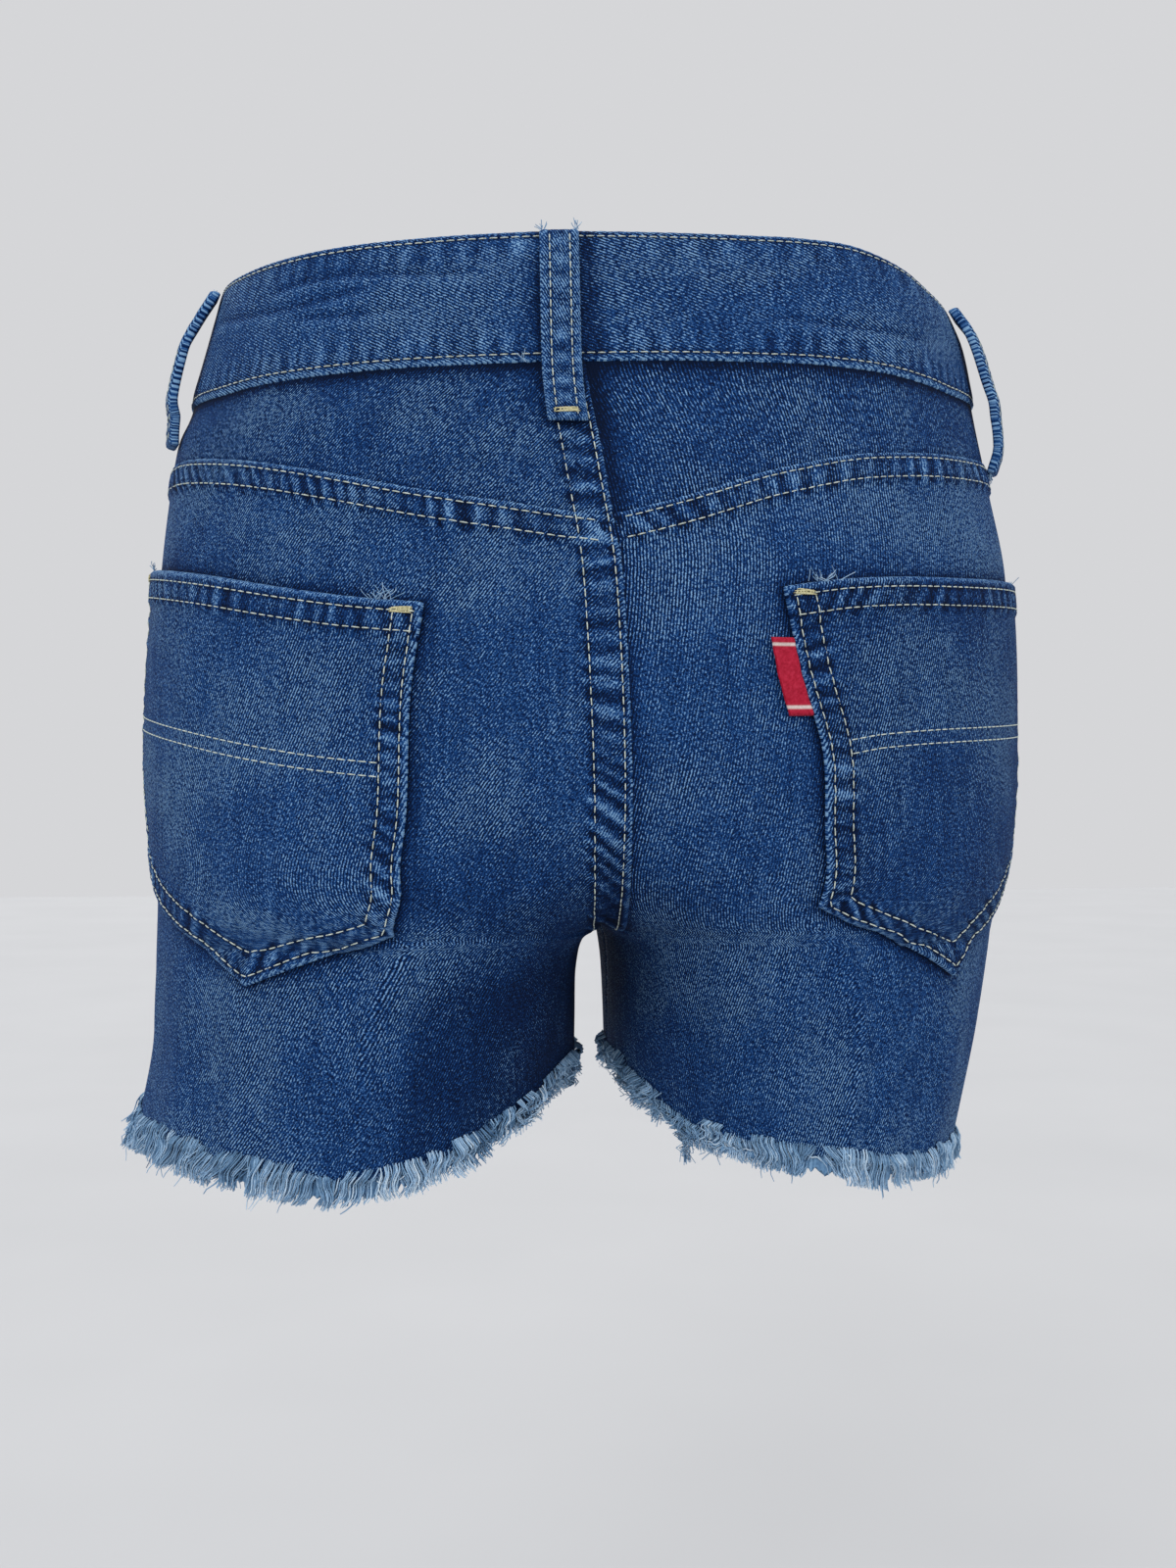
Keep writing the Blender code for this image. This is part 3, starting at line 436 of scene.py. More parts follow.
def down_mm(v):
    """Millimetres down the cloth from the waist to v."""
    return np.interp(v, ROWS_V, DOWN)


def v_at(mm):
    return np.interp(mm, DOWN, ROWS_V)


def below(v, mm):
    """v moved down the cloth by a distance in millimetres."""
    return v_at(down_mm(v) + mm)


# ---- relief of the cloth ----
SEAT_LAP = 5.3            # the left back laps this far over the right one, in mm
SEAT_FELL = 7.2           # and is doubled this far on its own side
YOKE_FELL = 9.4           # height of the doubled cloth under the yoke seam
FELL_HEIGHT = 1.0
FRONT_LAP = 3.0           # the left front laps this far over the right one
SEAM_END = 7.78           # v where the centre seams start to sink into the crotch
SEAT_ROWS = (-SEAT_LAP + 1.8, SEAT_FELL - 0.8)   # stitch rows, from the centre line
YOKE_ROWS = (1.9, 8.5)                   # stitch rows, down from the yoke seam

WRINKLES = (
    # t, z, half_t, half_z, lean (t for each mm of z), height: soft creases, in millimetres
    (0.215, -262.0, 0.010, 34.0, 0.0001, 1.5),
    (0.165, -262.0, 0.012, 34.0, -0.0002, -1.0),
    (0.300, -300.0, 0.013, 20.0, 0.0002, 0.8),
    (0.090, -246.0, 0.030, 9.0, 0.0030, -0.8),
    (0.070, -222.0, 0.028, 8.0, 0.0032, 0.7),
    (-0.080, -232.0, 0.030, 8.0, 0.0034, -0.8),
    (-0.160, -262.0, 0.040, 11.0, 0.0030, 1.3),
    (-0.230, -286.0, 0.012, 22.0, 0.0006, 0.8),
    (-0.400, -262.0, 0.013, 30.0, 0.0002, 0.7),
    (0.430, -270.0, 0.012, 30.0, -0.0002, 0.8),
    (-0.060, -150.0, 0.010, 22.0, 0.0002, 0.5),
    (0.065, -170.0, 0.010, 26.0, 0.0001, -0.5),
    (0.905, -196.0, 0.045, 6.0, 0.0055, 1.5),
    (0.880, -214.0, 0.050, 6.0, 0.0050, -1.2),
    (0.900, -168.0, 0.040, 6.5, 0.0060, 1.1),
    (-0.905, -199.0, 0.048, 6.5, -0.0052, 1.5),
    (-0.880, -218.0, 0.045, 6.0, -0.0048, -1.1),
    (-0.895, -172.0, 0.036, 6.0, -0.0062, 1.0),
    (0.800, -262.0, 0.014, 28.0, 0.0004, 1.2),
    (-0.820, -258.0, 0.015, 30.0, -0.0004, 1.2),
    (0.640, -240.0, 0.016, 36.0, 0.0002, 0.6),
    (-0.650, -236.0, 0.015, 34.0, -0.0002, 0.6),
)
# Slow swells over the whole cloth: cycles round a half, cycles down it, phase, height in mm.
SWELLS = ((5.0, 2.0, 0.3, 0.28), (8.0, -3.0, 1.7, 0.20), (3.0, 5.0, 4.1, 0.22),
          (13.0, 4.0, 2.2, 0.12), (11.0, -7.0, 5.3, 0.10), (21.0, 9.0, 0.9, 0.06))


WAVE_REACH = 1100.0       # the waves run this far each way, in mm


def wave_noise(x, seed, pitch):
    """Ridges and hollows in turn along x (mm), uneven in spacing and height, from -1 to 1."""
    x = np.asarray(x, float)
    draw = np.random.default_rng(int(seed * 10))
    count = int(2 * WAVE_REACH / (0.5 * pitch))
    spots = -WAVE_REACH + np.cumsum(draw.uniform(0.55, 1.45, count) * 0.5 * pitch)
    heights = draw.uniform(0.4, 1.0, count) * (-1.0) ** np.arange(count)
    k = np.clip(np.searchsorted(spots, x) - 1, 0, count - 2)
    share = ease((x - spots[k]) / (spots[k + 1] - spots[k]))
    return heights[k] + (heights[k + 1] - heights[k]) * share


def ladder(along, off, low, high, pitch, seed):
    """Puckers of a doubled seam: ridges across the strip from low to high (mm) beside it."""
    # As tone this paints the ridges lighter and the hollows darker: partly the seam's real wear,
    # partly painted highlight and painted shade.
    inside = ease((off - low + 1.6) / 1.8) * (1 - ease((off - high) / 3.2))
    lean = 0.35 + 0.45 * np.sin(along / (4.3 * pitch) + seed)
    wave = wave_noise(along + lean * off, seed, pitch)
    fine = wave_noise(along - 0.3 * off, seed + 9.0, 0.43 * pitch)
    strong = 0.62 + 0.38 * wave_noise(along, seed + 17.0, 6.0 * pitch)
    return (wave * strong + 0.35 * fine - 0.12) * inside


def rope(along, off, seed, reach=1.5):
    """Small bars along an edge, where the fold of the hem rolls."""
    return wave_noise(along + 1.5 * off, seed, 4.0) * np.exp(-((off - 0.4) / reach) ** 2)


def groove(off, *rows):
    """Where stitch rows pull the cloth in: 1 on a row, 0 away from it. Lengths in mm."""
    return sum(np.exp(-((off - row) / 0.75) ** 2) for row in rows)


def undulation(t, z):
    """Soft creases and swells everywhere, in metres."""
    z = z / MM
    total = 0.0
    for fold_t, fold_z, half_t, half_z, lean, height in WRINKLES:
        rise = z - fold_z
        across = (t - fold_t - lean * rise) / half_t
        total = total + height * np.exp(-across**2 - (rise / half_z) ** 2)
    for round_it, down, phase, height in SWELLS:
        total = total + height * np.sin(math.pi * round_it * t + math.pi * down * z / 300 + phase)
    return total * MM


def point(t, v, lift=0.0):
    """Points of the cloth's outer face. t past 1 or -1 goes on over the other half's front."""
    t, v, lift = np.broadcast_arrays(np.asarray(t, float), np.asarray(v, float),
                                     np.asarray(lift, float))
    t = np.where(t > 1, t - 2, np.where(t < -1, t + 2, t))
    u = np.abs(t)
    rough = undulation(t, form(LEFT, u, v)[..., 2]) * ease((v - 0.9) / 0.6)
    edge = ease((u - 0.004) / 0.02) * ease((0.996 - u) / 0.02)
    rise = lift + rough * edge
    return np.where((t >= 0)[..., None], surface(LEFT, u, v, rise), surface(RIGHT, u, v, rise))


def aside(t, v, centre=0.0):
    """Millimetres that points lie to the side of a centre line, minus on the right half."""
    t, v = np.broadcast_arrays(np.asarray(t, float), np.asarray(v, float))
    u = np.clip(np.abs(t), 0, 1)
    halves = [(form(side, u, v) - form(side, centre, v))[..., 0] for side in (LEFT, RIGHT)]
    return np.where(t >= 0, *halves) / MM


def t_beside_centre(mm, v):
    """t on each row v at a small distance to the side of the centre back, minus for the right."""
    near = np.linspace(0, NEAR_T, 45)
    side = LEFT if mm > 0 else RIGHT
    v = np.asarray(v, float)
    x = np.abs(aside(side * near, v.reshape(-1, 1)))
    return side * np.array([np.interp(abs(mm), row, near) for row in x]).reshape(v.shape)


def seat_relief(t, v):
    """Height (m) and ladder tone of the felled seam at the centre back."""
    off = aside(t, v)
    fade = 1 - ease((v - SEAM_END) / 0.2)
    rise = FELL_HEIGHT * (1 - ease((off - SEAT_FELL) / 1.6)) * fade
    rise = rise + 0.4 * (1 - ease((off + SEAT_LAP) / 5.0)) * fade
    tone = ladder(down_mm(v), off, -SEAT_LAP + 1.5, SEAT_FELL, 7.4, 1.3) * fade
    dip = groove(off, *SEAT_ROWS) * fade
    tone = tone + 0.30 * rope(down_mm(v), off + SEAT_LAP, 5.9) * fade
    return (rise + 0.55 * tone - 0.25 * dip) * MM, 2.3 * tone - 1.6 * dip


def yoke_relief(side, t, v):
    """Height (m) and ladder tone of the felled seam under the yoke, on the back panel."""
    off = down_mm(v) - down_mm(yoke_seam[side](np.abs(t)))
    rise = FELL_HEIGHT * (1 - ease((off - YOKE_FELL) / 1.6)) * (off > -1)
    tone = ladder(t * girth(v), off, 2.4, YOKE_FELL, 7.2, 2.1 + side)
    dip = groove(off, *YOKE_ROWS)
    tone = tone + 0.45 * rope(t * girth(v), off, 4.7 + side)
    return (rise + 0.46 * tone - 0.22 * dip) * MM, 2.3 * tone - 1.6 * dip


def rolled(off, reach=1.3, drop=0.55):
    """An edge that rolls down over its last reach (mm): a height in metres, at most zero."""
    s = np.clip(off / reach, 0, 1)
    return -drop * (1 - np.sqrt(np.clip(1 - (1 - s) ** 2, 0, 1))) * MM


# ---- meshes ----
MATERIALS = {}


def make_mesh(name, verts, faces, mats, face_mats=None, uv=None, tone=None, smooth=True,
              slot="denim"):
    """An object from arrays. uv and tone are given for each vertex."""
    mesh = bpy.data.meshes.new(name)
    mesh.from_pydata(np.asarray(verts).tolist(), [], faces)
    for mat in mats:
        mesh.materials.append(MATERIALS[mat])
    if face_mats is not None:
        mesh.polygons.foreach_set("material_index", np.asarray(face_mats, np.int32))
    corner = np.zeros(len(mesh.loops), np.int32)
    mesh.loops.foreach_get("vertex_index", corner)
    if uv is not None:
        layer = mesh.uv_layers.new(name="UVMap")
        layer.data.foreach_set("uv", np.asarray(uv, np.float32)[corner].ravel())
    if tone is not None:
        attribute = mesh.attributes.new("tone", "FLOAT", "POINT")
        attribute.data.foreach_set("value", np.asarray(tone, np.float32))
    mesh.update()
    if smooth:
        mesh.shade_smooth()
    obj = bpy.data.objects.new(name, mesh)
    bpy.context.scene.collection.objects.link(obj)
    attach(obj, "root")
    return obj


STRIDE = 3                # the inner face has one cell for so many each way


def border(rows, cols):
    ring = [(i, 0) for i in range(rows)] + [(rows - 1, j) for j in range(1, cols)]
    ring += [(i, cols - 1) for i in range(rows - 2, -1, -1)]
    return ring + [(0, j) for j in range(cols - 2, 0, -1)]


def shell(name, outer, inner, uv, tone, mats=("denim", "denim_reverse"), slot="denim",
          bulge=0.3, inside_tone=0.0):
    """A closed cloth shell from two grids: a fine outer face, a rounded rim, a coarser inner one.

    Both grids have rows and columns of the form STRIDE * n + 1, rows down and columns along +t.
    """
    rows, cols = outer.shape[:2]
    ring = border(rows, cols)
    at = np.array(ring)
    rim_in = inner[at[:, 0], at[:, 1]]
    rim_out = outer[at[:, 0], at[:, 1]]
    inward = outer[np.clip(at[:, 0], 1, rows - 2), np.clip(at[:, 1], 1, cols - 2)]
    away = rim_out - inward
    thick = np.linalg.norm(rim_out - rim_in, axis=1, keepdims=True)
    away /= np.maximum(np.linalg.norm(away, axis=1, keepdims=True), 1e-9)
    middle = 0.5 * (rim_out + rim_in) + away * thick * bulge
    coarse = inner[::STRIDE, ::STRIDE]
    low_rows, low_cols = coarse.shape[:2]
    verts = np.concatenate([outer.reshape(-1, 3), middle, coarse.reshape(-1, 3)])
    mid_at = rows * cols
    low_at = mid_at + len(ring)

    def top(i, j):
        return i * cols + j

    def low(i, j):
        return low_at + i * low_cols + j

    i, j = np.meshgrid(np.arange(rows - 1), np.arange(cols - 1), indexing="ij")
    quads = np.stack([top(i, j), top(i + 1, j), top(i + 1, j + 1), top(i, j + 1)], -1)
    faces = quads.reshape(-1, 4).tolist()
    count = len(faces)
    n = len(ring)
    for k in range(n):
        m = (k + 1) % n
        faces.append([top(*ring[m]), top(*ring[k]), mid_at + k, mid_at + m])
    for k in range(0, n, STRIDE):
        fine = [mid_at + (k + s) % n for s in range(STRIDE, -1, -1)]
        ends = [ring[k], ring[(k + STRIDE) % n]]
        faces.append(fine + [low(a // STRIDE, b // STRIDE) for a, b in ends])
    rim_count = len(faces) - count
    i, j = np.meshgrid(np.arange(low_rows - 1), np.arange(low_cols - 1), indexing="ij")
    quads = np.stack([low(i, j), low(i, j + 1), low(i + 1, j + 1), low(i + 1, j)], -1)
    faces += quads.reshape(-1, 4).tolist()
    face_mats = [0] * (count + rim_count) + [1] * (len(faces) - count - rim_count)
    ring_uv = uv[at[:, 0], at[:, 1]]
    all_uv = np.concatenate([uv.reshape(-1, 2), ring_uv, uv[::STRIDE, ::STRIDE].reshape(-1, 2)])
    ring_tone = tone[at[:, 0], at[:, 1]]
    all_tone = np.concatenate([tone.ravel(), ring_tone,
                               inside_tone * tone[::STRIDE, ::STRIDE].ravel()])
    # The grid runs down and along +t, so its faces wind outward as listed below.
    faces = [face[::-1] for face in faces]
    return make_mesh(name, verts, faces, mats, face_mats, all_uv, all_tone, slot=slot)


def steps(low, high, size, stride=STRIDE):
    """Count of samples, of the form stride * n + 1, for a span in mm."""
    return stride * max(2, math.ceil((high - low) / (size * stride))) + 1


def cloth_uv(t, v, turn=0.0, start=0.0):
    """Metre-scaled UVs round the cloth from t = start and down it, turned by some degrees."""
    x, y = (arc(t, v) - arc(start, v)) * MM, -down_mm(v) * MM
    a = math.radians(turn)
    return np.stack([x * math.cos(a) - y * math.sin(a), x * math.sin(a) + y * math.cos(a)], -1)


def contact(off, reach=1.8):
    """Dark shade on cloth beside the edge of a piece that lies on it; off is mm past the edge."""
    return np.exp(-np.clip(off, 0, None) / reach)


def off_loops(t, v):
    """Distance (mm) past the nearest belt loop's side; far below a loop's foot it is large."""
    nearest = np.full(np.broadcast(t, v).shape, 99.0)
    for _, t_top, t_foot, v_foot, _ in LOOPS:
        middle = t_top + (t_foot - t_top) * np.clip(v / v_foot, 0, 1)
        aside = np.abs(t - middle) * girth(v) - 0.5 * LOOP_WIDTH / MM
        past = np.clip(down_mm(v) - down_mm(v_foot), 0, None)
        nearest = np.minimum(nearest, np.hypot(np.clip(aside, 0, None), past))
    return nearest


def distance(x, y, line):
    """Distance (mm) of flat points from a line through a list of points."""
    nearest = np.full(np.shape(x), 1e9)
    for (px, py), (dx, dy) in zip(line[:-1], np.diff(line, axis=0)):
        share = np.clip(((x - px) * dx + (y - py) * dy) / (dx * dx + dy * dy), 0, 1)
        nearest = np.minimum(nearest, np.hypot(x - px - share * dx, y - py - share * dy))
    return nearest


def laid_flat(u, v):
    """Millimetres round the cloth from the side seam, and down it."""
    return arc(u, v) - arc(SIDE_SEAM_U, v), down_mm(v) + 0 * u


def pocket_edges(side):
    """A patch pocket's mouth, inner edge, foot and outer edge laid flat, in mm."""
    share = np.linspace(0, 1, 61)
    u, v = pocket_grid(side, share, share)
    flat = np.stack(laid_flat(u, v), -1)
    return flat[0], flat[:, 0], flat[-1], flat[:, -1]


def off_pocket(side, t, v):
    """Distance (mm) from a patch pocket's outline."""
    x, y = laid_flat(np.abs(t), v)
    return np.minimum.reduce([distance(x, y, edge) for edge in pocket_edges(side)])


CELL = 1.35               # size of the outer faces, in mm
TURN = {LEFT: -32.0, RIGHT: -17.0}       # how far the twill leans from upright on each half



# ---- finishes ----
class Nodes:
    """Short calls for building one material's node tree."""

    def __init__(self, name, roughness, metallic=0.0, sheen=0.0, coat=0.0):
        self.mat = bpy.data.materials.new(name)
        self.mat.use_nodes = True
        self.tree = self.mat.node_tree
        self.shader = self.tree.nodes["Principled BSDF"]
        self.shader.inputs["Roughness"].default_value = roughness
        self.shader.inputs["Metallic"].default_value = metallic
        self.shader.inputs["Sheen Weight"].default_value = sheen
        self.shader.inputs["Coat Weight"].default_value = coat
        self.shader.inputs["Specular IOR Level"].default_value = 0.5 if metallic else 0.12
        MATERIALS[name] = self.mat

    def add(self, kind, **values):
        node = self.tree.nodes.new(kind)
        for key, value in values.items():
            setattr(node, key, value)
        return node

    def link(self, source, target):
        self.tree.links.new(source, target)

    def put(self, socket, value):
        """Link a socket, or set a plain value."""
        if isinstance(value, bpy.types.NodeSocket):
            self.link(value, socket)
        else:
            socket.default_value = value

    def math(self, operation, a, b=0.0, clamp=False):
        node = self.add("ShaderNodeMath", operation=operation, use_clamp=clamp)
        self.put(node.inputs[0], a)
        self.put(node.inputs[1], b)
        return node.outputs[0]

    def mapped(self, source, scale, turn=0.0):
        node = self.add("ShaderNodeMapping")
        self.link(source, node.inputs["Vector"])
        node.inputs["Scale"].default_value = scale
        node.inputs["Rotation"].default_value = (0, 0, math.radians(turn))
        return node.outputs[0]

    def uv(self):
        return self.add("ShaderNodeTexCoord").outputs["UV"]

    def place(self):
        return self.add("ShaderNodeTexCoord").outputs["Object"]

    def noise(self, vector, scale, detail=2.0, rough=0.5, distortion=0.0):
        node = self.add("ShaderNodeTexNoise")
        self.link(vector, node.inputs["Vector"])
        node.inputs["Scale"].default_value = scale
        node.inputs["Detail"].default_value = detail
        node.inputs["Roughness"].default_value = rough
        node.inputs["Distortion"].default_value = distortion
        return node.outputs["Fac"]

    def wave(self, vector, pitch, distortion=0.0, detail=0.0):
        """Bands across X with a pitch in the vector's own units."""
        node = self.add("ShaderNodeTexWave", wave_type="BANDS", bands_direction="X")
        self.link(vector, node.inputs["Vector"])
        node.inputs["Scale"].default_value = math.pi / 10 / pitch
        node.inputs["Distortion"].default_value = distortion
        node.inputs["Detail"].default_value = detail
        return node.outputs["Fac"]

    def between(self, value, low, high, to_low=0.0, to_high=1.0):
        node = self.add("ShaderNodeMapRange")
        self.link(value, node.inputs["Value"])
        for key, number in (("From Min", low), ("From Max", high), ("To Min", to_low),
                            ("To Max", to_high)):
            node.inputs[key].default_value = number
        return node.outputs[0]

    def ramp(self, value, *stops):
        node = self.add("ShaderNodeValToRGB")
        self.link(value, node.inputs["Fac"])
        spots = node.color_ramp.elements
        while len(spots) < len(stops):
            spots.new(0.5)
        for spot, (at, colour) in zip(spots, stops):
            spot.position = at
            spot.color = (*colour, 1.0)
        return node.outputs["Color"]

    def colour(self, socket):
        self.link(socket, self.shader.inputs["Base Color"])

    def bump(self, height, strength, distance):
        node = self.add("ShaderNodeBump")
        node.inputs["Strength"].default_value = strength
        node.inputs["Distance"].default_value = distance
        self.link(height, node.inputs["Height"])
        self.link(node.outputs[0], self.shader.inputs["Normal"])

    def attribute(self, name):
        return self.add("ShaderNodeAttribute", attribute_name=name).outputs["Fac"]


TWILL_PITCH = 0.92        # mm between diagonals


def denim(name, middle, contrast, stops):
    """Twill ribs broken into dashes, flecks, warp streaks; tone: fading, worn edges, painted shade
    and highlight.
    """
    m = Nodes(name, 0.92)
    mm = m.mapped(m.uv(), (1000.0, 1000.0, 1000.0))
    twill = m.wave(mm, TWILL_PITCH, 1.6, 1.0)
    fleck = m.noise(m.mapped(mm, (1.9, 1.0, 1.0)), 1.0, 2.0, 0.6)
    grain = m.noise(m.mapped(mm, (1.0, 0.8, 1.0), 12.0), 3.0, 2.0, 0.7)
    streak = m.noise(m.mapped(m.place(), (500.0, 500.0, 35.0)), 1.0, 3.0, 0.6)
    cloud = m.noise(mm, 0.060, 4.0, 0.6)
    broad = m.noise(mm, 0.022, 2.0, 0.5)
    ribs = m.math("MULTIPLY", m.math("SUBTRACT", twill, 0.5), 0.62 * contrast)
    ribs = m.math("MULTIPLY", ribs, m.between(broad, 0.40, 0.60, 0.35, 1.0))
    total = m.math("MULTIPLY", ribs, m.between(fleck, 0.35, 0.65, 0.4, 1.2))
    for layer, share in ((fleck, 1.35), (grain, 1.05), (streak, 0.24), (cloud, 0.12),
                         (broad, 0.05)):
        part = m.math("MULTIPLY", m.math("SUBTRACT", layer, 0.5), share * contrast)
        total = m.math("ADD", total, part)
    total = m.math("ADD", total, middle)
    # tone is real wear and fading together with painted shade (beside laid-on pieces, under the
    # seat, on the inner legs) and painted highlight on pucker ridges
    worn = m.math("MULTIPLY", m.attribute("tone"), 0.24)
    worn = m.math("MULTIPLY", worn, m.between(fleck, 0.25, 0.75, 0.7, 1.3))
    total = m.math("ADD", total, worn, clamp=True)
    m.colour(m.ramp(total, *stops))
    height = m.math("ADD", m.math("MULTIPLY", twill, 0.6), fleck)
    height = m.math("ADD", height, m.math("MULTIPLY", grain, 0.7))
    m.bump(height, 0.5, 0.0004)
    return m.mat


INDIGO = ((0.0, (0.0005, 0.005, 0.022)), (0.30, (0.001, 0.015, 0.074)),
          (0.50, (0.003, 0.032, 0.136)), (0.75, (0.019, 0.096, 0.290)),
          (1.0, (0.210, 0.380, 0.590)))
REVERSE = ((0.0, (0.050, 0.090, 0.180)), (0.45, (0.170, 0.250, 0.380)),
           (1.0, (0.480, 0.560, 0.650)))


def make_finishes():
    denim("denim", 0.48, 1.6, INDIGO)
    denim("denim_reverse", 0.52, 0.9, REVERSE)

    m = Nodes("fringe", 0.9, sheen=0.05)
    shade = m.math("ADD", m.attribute("tone"),
                   m.math("MULTIPLY", m.math("SUBTRACT", m.noise(m.place(), 900.0, 2.0), 0.5), 0.5))
    m.colour(m.ramp(shade, (0.0, (0.035, 0.095, 0.210)), (0.35, (0.150, 0.290, 0.470)),
                    (0.70, (0.350, 0.530, 0.730)), (1.0, (0.660, 0.780, 0.880))))
    m.bump(m.noise(m.place(), 2600.0, 2.0), 0.3, 0.0002)

    m = Nodes("thread", 0.75, sheen=0.04)
    twist = m.noise(m.place(), 1700.0, 3.0, 0.6)
    m.colour(m.ramp(twist, (0.30, (0.230, 0.285, 0.260)), (0.50, (0.530, 0.595, 0.540)),
                    (0.75, (0.790, 0.840, 0.770))))
    m.bump(twist, 0.5, 0.0002)

    m = Nodes("bartack", 0.75, sheen=0.04)
    twist = m.noise(m.place(), 1500.0, 3.0, 0.6)
    m.colour(m.ramp(twist, (0.30, (0.260, 0.240, 0.130)), (0.50, (0.600, 0.560, 0.330)),
                    (0.80, (0.800, 0.760, 0.520))))
    m.bump(twist, 0.5, 0.0002)

    m = Nodes("tab", 0.8, sheen=0.04)
    weave = m.wave(m.mapped(m.uv(), (1000.0, 1000.0, 1000.0)), 0.5, 0.4)
    rough = m.noise(m.place(), 900.0, 3.0, 0.6)
    red = m.ramp(m.math("ADD", m.math("MULTIPLY", weave, 0.35), rough),
                 (0.2, (0.180, 0.002, 0.010)), (0.6, (0.380, 0.006, 0.028)),
                 (1.0, (0.540, 0.030, 0.070)))
    pale = m.ramp(rough, (0.2, (0.55, 0.45, 0.42)), (0.8, (0.80, 0.74, 0.70)))
    mix = m.add("ShaderNodeMix", data_type="RGBA")
    m.link(m.attribute("tone"), mix.inputs["Factor"])
    m.link(red, mix.inputs["A"])
    m.link(pale, mix.inputs["B"])
    m.colour(mix.outputs["Result"])
    m.bump(weave, 0.4, 0.0003)

    m = Nodes("zip_tape", 0.8, sheen=0.1)
    ribs = m.wave(m.mapped(m.place(), (1000.0, 1000.0, 1000.0)), 0.9, 0.3)
    m.colour(m.ramp(ribs, (0.0, (0.010, 0.022, 0.060)), (1.0, (0.035, 0.070, 0.150))))
    m.bump(ribs, 0.4, 0.0003)

    m = Nodes("metal", 0.32, metallic=1.0)
    worn = m.noise(m.place(), 420.0, 4.0, 0.6)
    m.colour(m.ramp(worn, (0.2, (0.160, 0.095, 0.045)), (0.55, (0.420, 0.290, 0.160)),
                    (0.9, (0.600, 0.460, 0.290))))
    m.bump(m.noise(m.place(), 1500.0, 3.0), 0.15, 0.0002)

    m = Nodes("floor", 0.9)
    m.colour(m.ramp(m.noise(m.place(), 3.0),
                    (0.2, (0.525, 0.53, 0.54)), (0.8, (0.55, 0.555, 0.565))))


make_finishes()


# ---- cloth pieces ----
CUTS = {}                 # the flat cut of each sheet: width, length and area
LEAST_CUT = 0.0101        # the narrowest cut that a sheet may declare, in metres


def declare(obj, grid, *with_pieces):
    """Declare a sheet, with the cut that its grid of points was laid out from."""
    wide = max(np.linalg.norm(np.diff(grid, axis=1), axis=-1).sum(1).max(), LEAST_CUT)
    tall = np.linalg.norm(np.diff(grid, axis=0), axis=-1).sum(0).max()
    across = grid[1:, 1:] - grid[:-1, :-1]
    up = grid[:-1, 1:] - grid[1:, :-1]
    area = 0.5 * np.linalg.norm(np.cross(across, up), axis=-1).sum()
    CUTS[obj.name] = (wide, tall, area)


def side_uv(side, t, v):
    """UVs laid out flat from the side seam."""
    return cloth_uv(t, v, TURN[side], side * SIDE_SEAM_U)


def back_lap(v):
    """t of the left back's inner edge: past the centre line above the crotch."""
    lap = t_beside_centre(-SEAT_LAP, v) * (1 - ease((v - SEAM_END) / 0.2))
    return np.where(v < V_CROTCH, lap, INSEAM_U)


def make_yoke(side):
    rows = steps(0, 76, CELL)
    cols = steps(0, 235, CELL)
    share = np.linspace(0, 1, rows)[:, None]
    v0 = below(V_BAND, -2.5)
    if side == LEFT:
        start, end = t_beside_centre(-SEAT_LAP, 1.7), SIDE_SEAM_U + 0.002
    else:
        start, end = -SIDE_SEAM_U - 0.002, -0.0006
    t = np.linspace(start, end, cols)[None, :] + 0 * share
    seam = below(yoke_seam[side](np.abs(t)), 2.0)
    v = v0 + (seam - v0) * share
    rise, tone = seat_relief(t, v) if side == LEFT else (0 * t, 0 * t)
    off_band = down_mm(v) - down_mm(V_BAND)
    above = down_mm(yoke_seam[side](np.abs(t))) - down_mm(v)
    edge = rolled((t - start) * girth(v)) if side == LEFT else 0 * t
    # Painted shade under the waistband's lower edge and at the foot of the yoke, under the back
    # panel's lapped fold.
    tone = tone - 2.6 * contact(off_band - 0.6, 1.5) - 0.6 * np.exp(-above / 1.2)
    if side == LEFT:
        tone = tone + 0.9 * np.exp(-((t - start) * girth(v) / 0.9) ** 2)
    else:
        tone = tone - 1.6 * contact(-t * girth(v) - SEAT_LAP, 1.8)
    tone = tone - 1.0 * contact(off_loops(t, v))
    tone = tone - 0.25
    sink = -0.5 * MM * ease((2.0 - above) / 3.0)
    outer = point(t, v, rise + edge + sink)
    inner = point(t, v, -CLOTH + 0 * rise)
    obj = shell(f"shell_yoke_{NAMES[side]}", outer, inner, side_uv(side, t, v), tone)
    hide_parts(f"yoke_{NAMES[side]}")
    declare(obj, point(t, v))
    return obj


def leg_shade(side, u, v):
    """Dark shade on the back of each leg, towards its inner side and under the seat."""
    low = ease((v - 5.0) / 3.2)
    reach = 0.185 if side == LEFT else 0.14
    inner = 1 - ease((u - 0.05) / reach)
    fold = ease((v - 8.0) / 1.0) * (1 - ease((u - 0.190) / 0.012)) * (side == LEFT)
    return (1.3 if side == LEFT else 0.55) * inner * low + 0.6 * fold


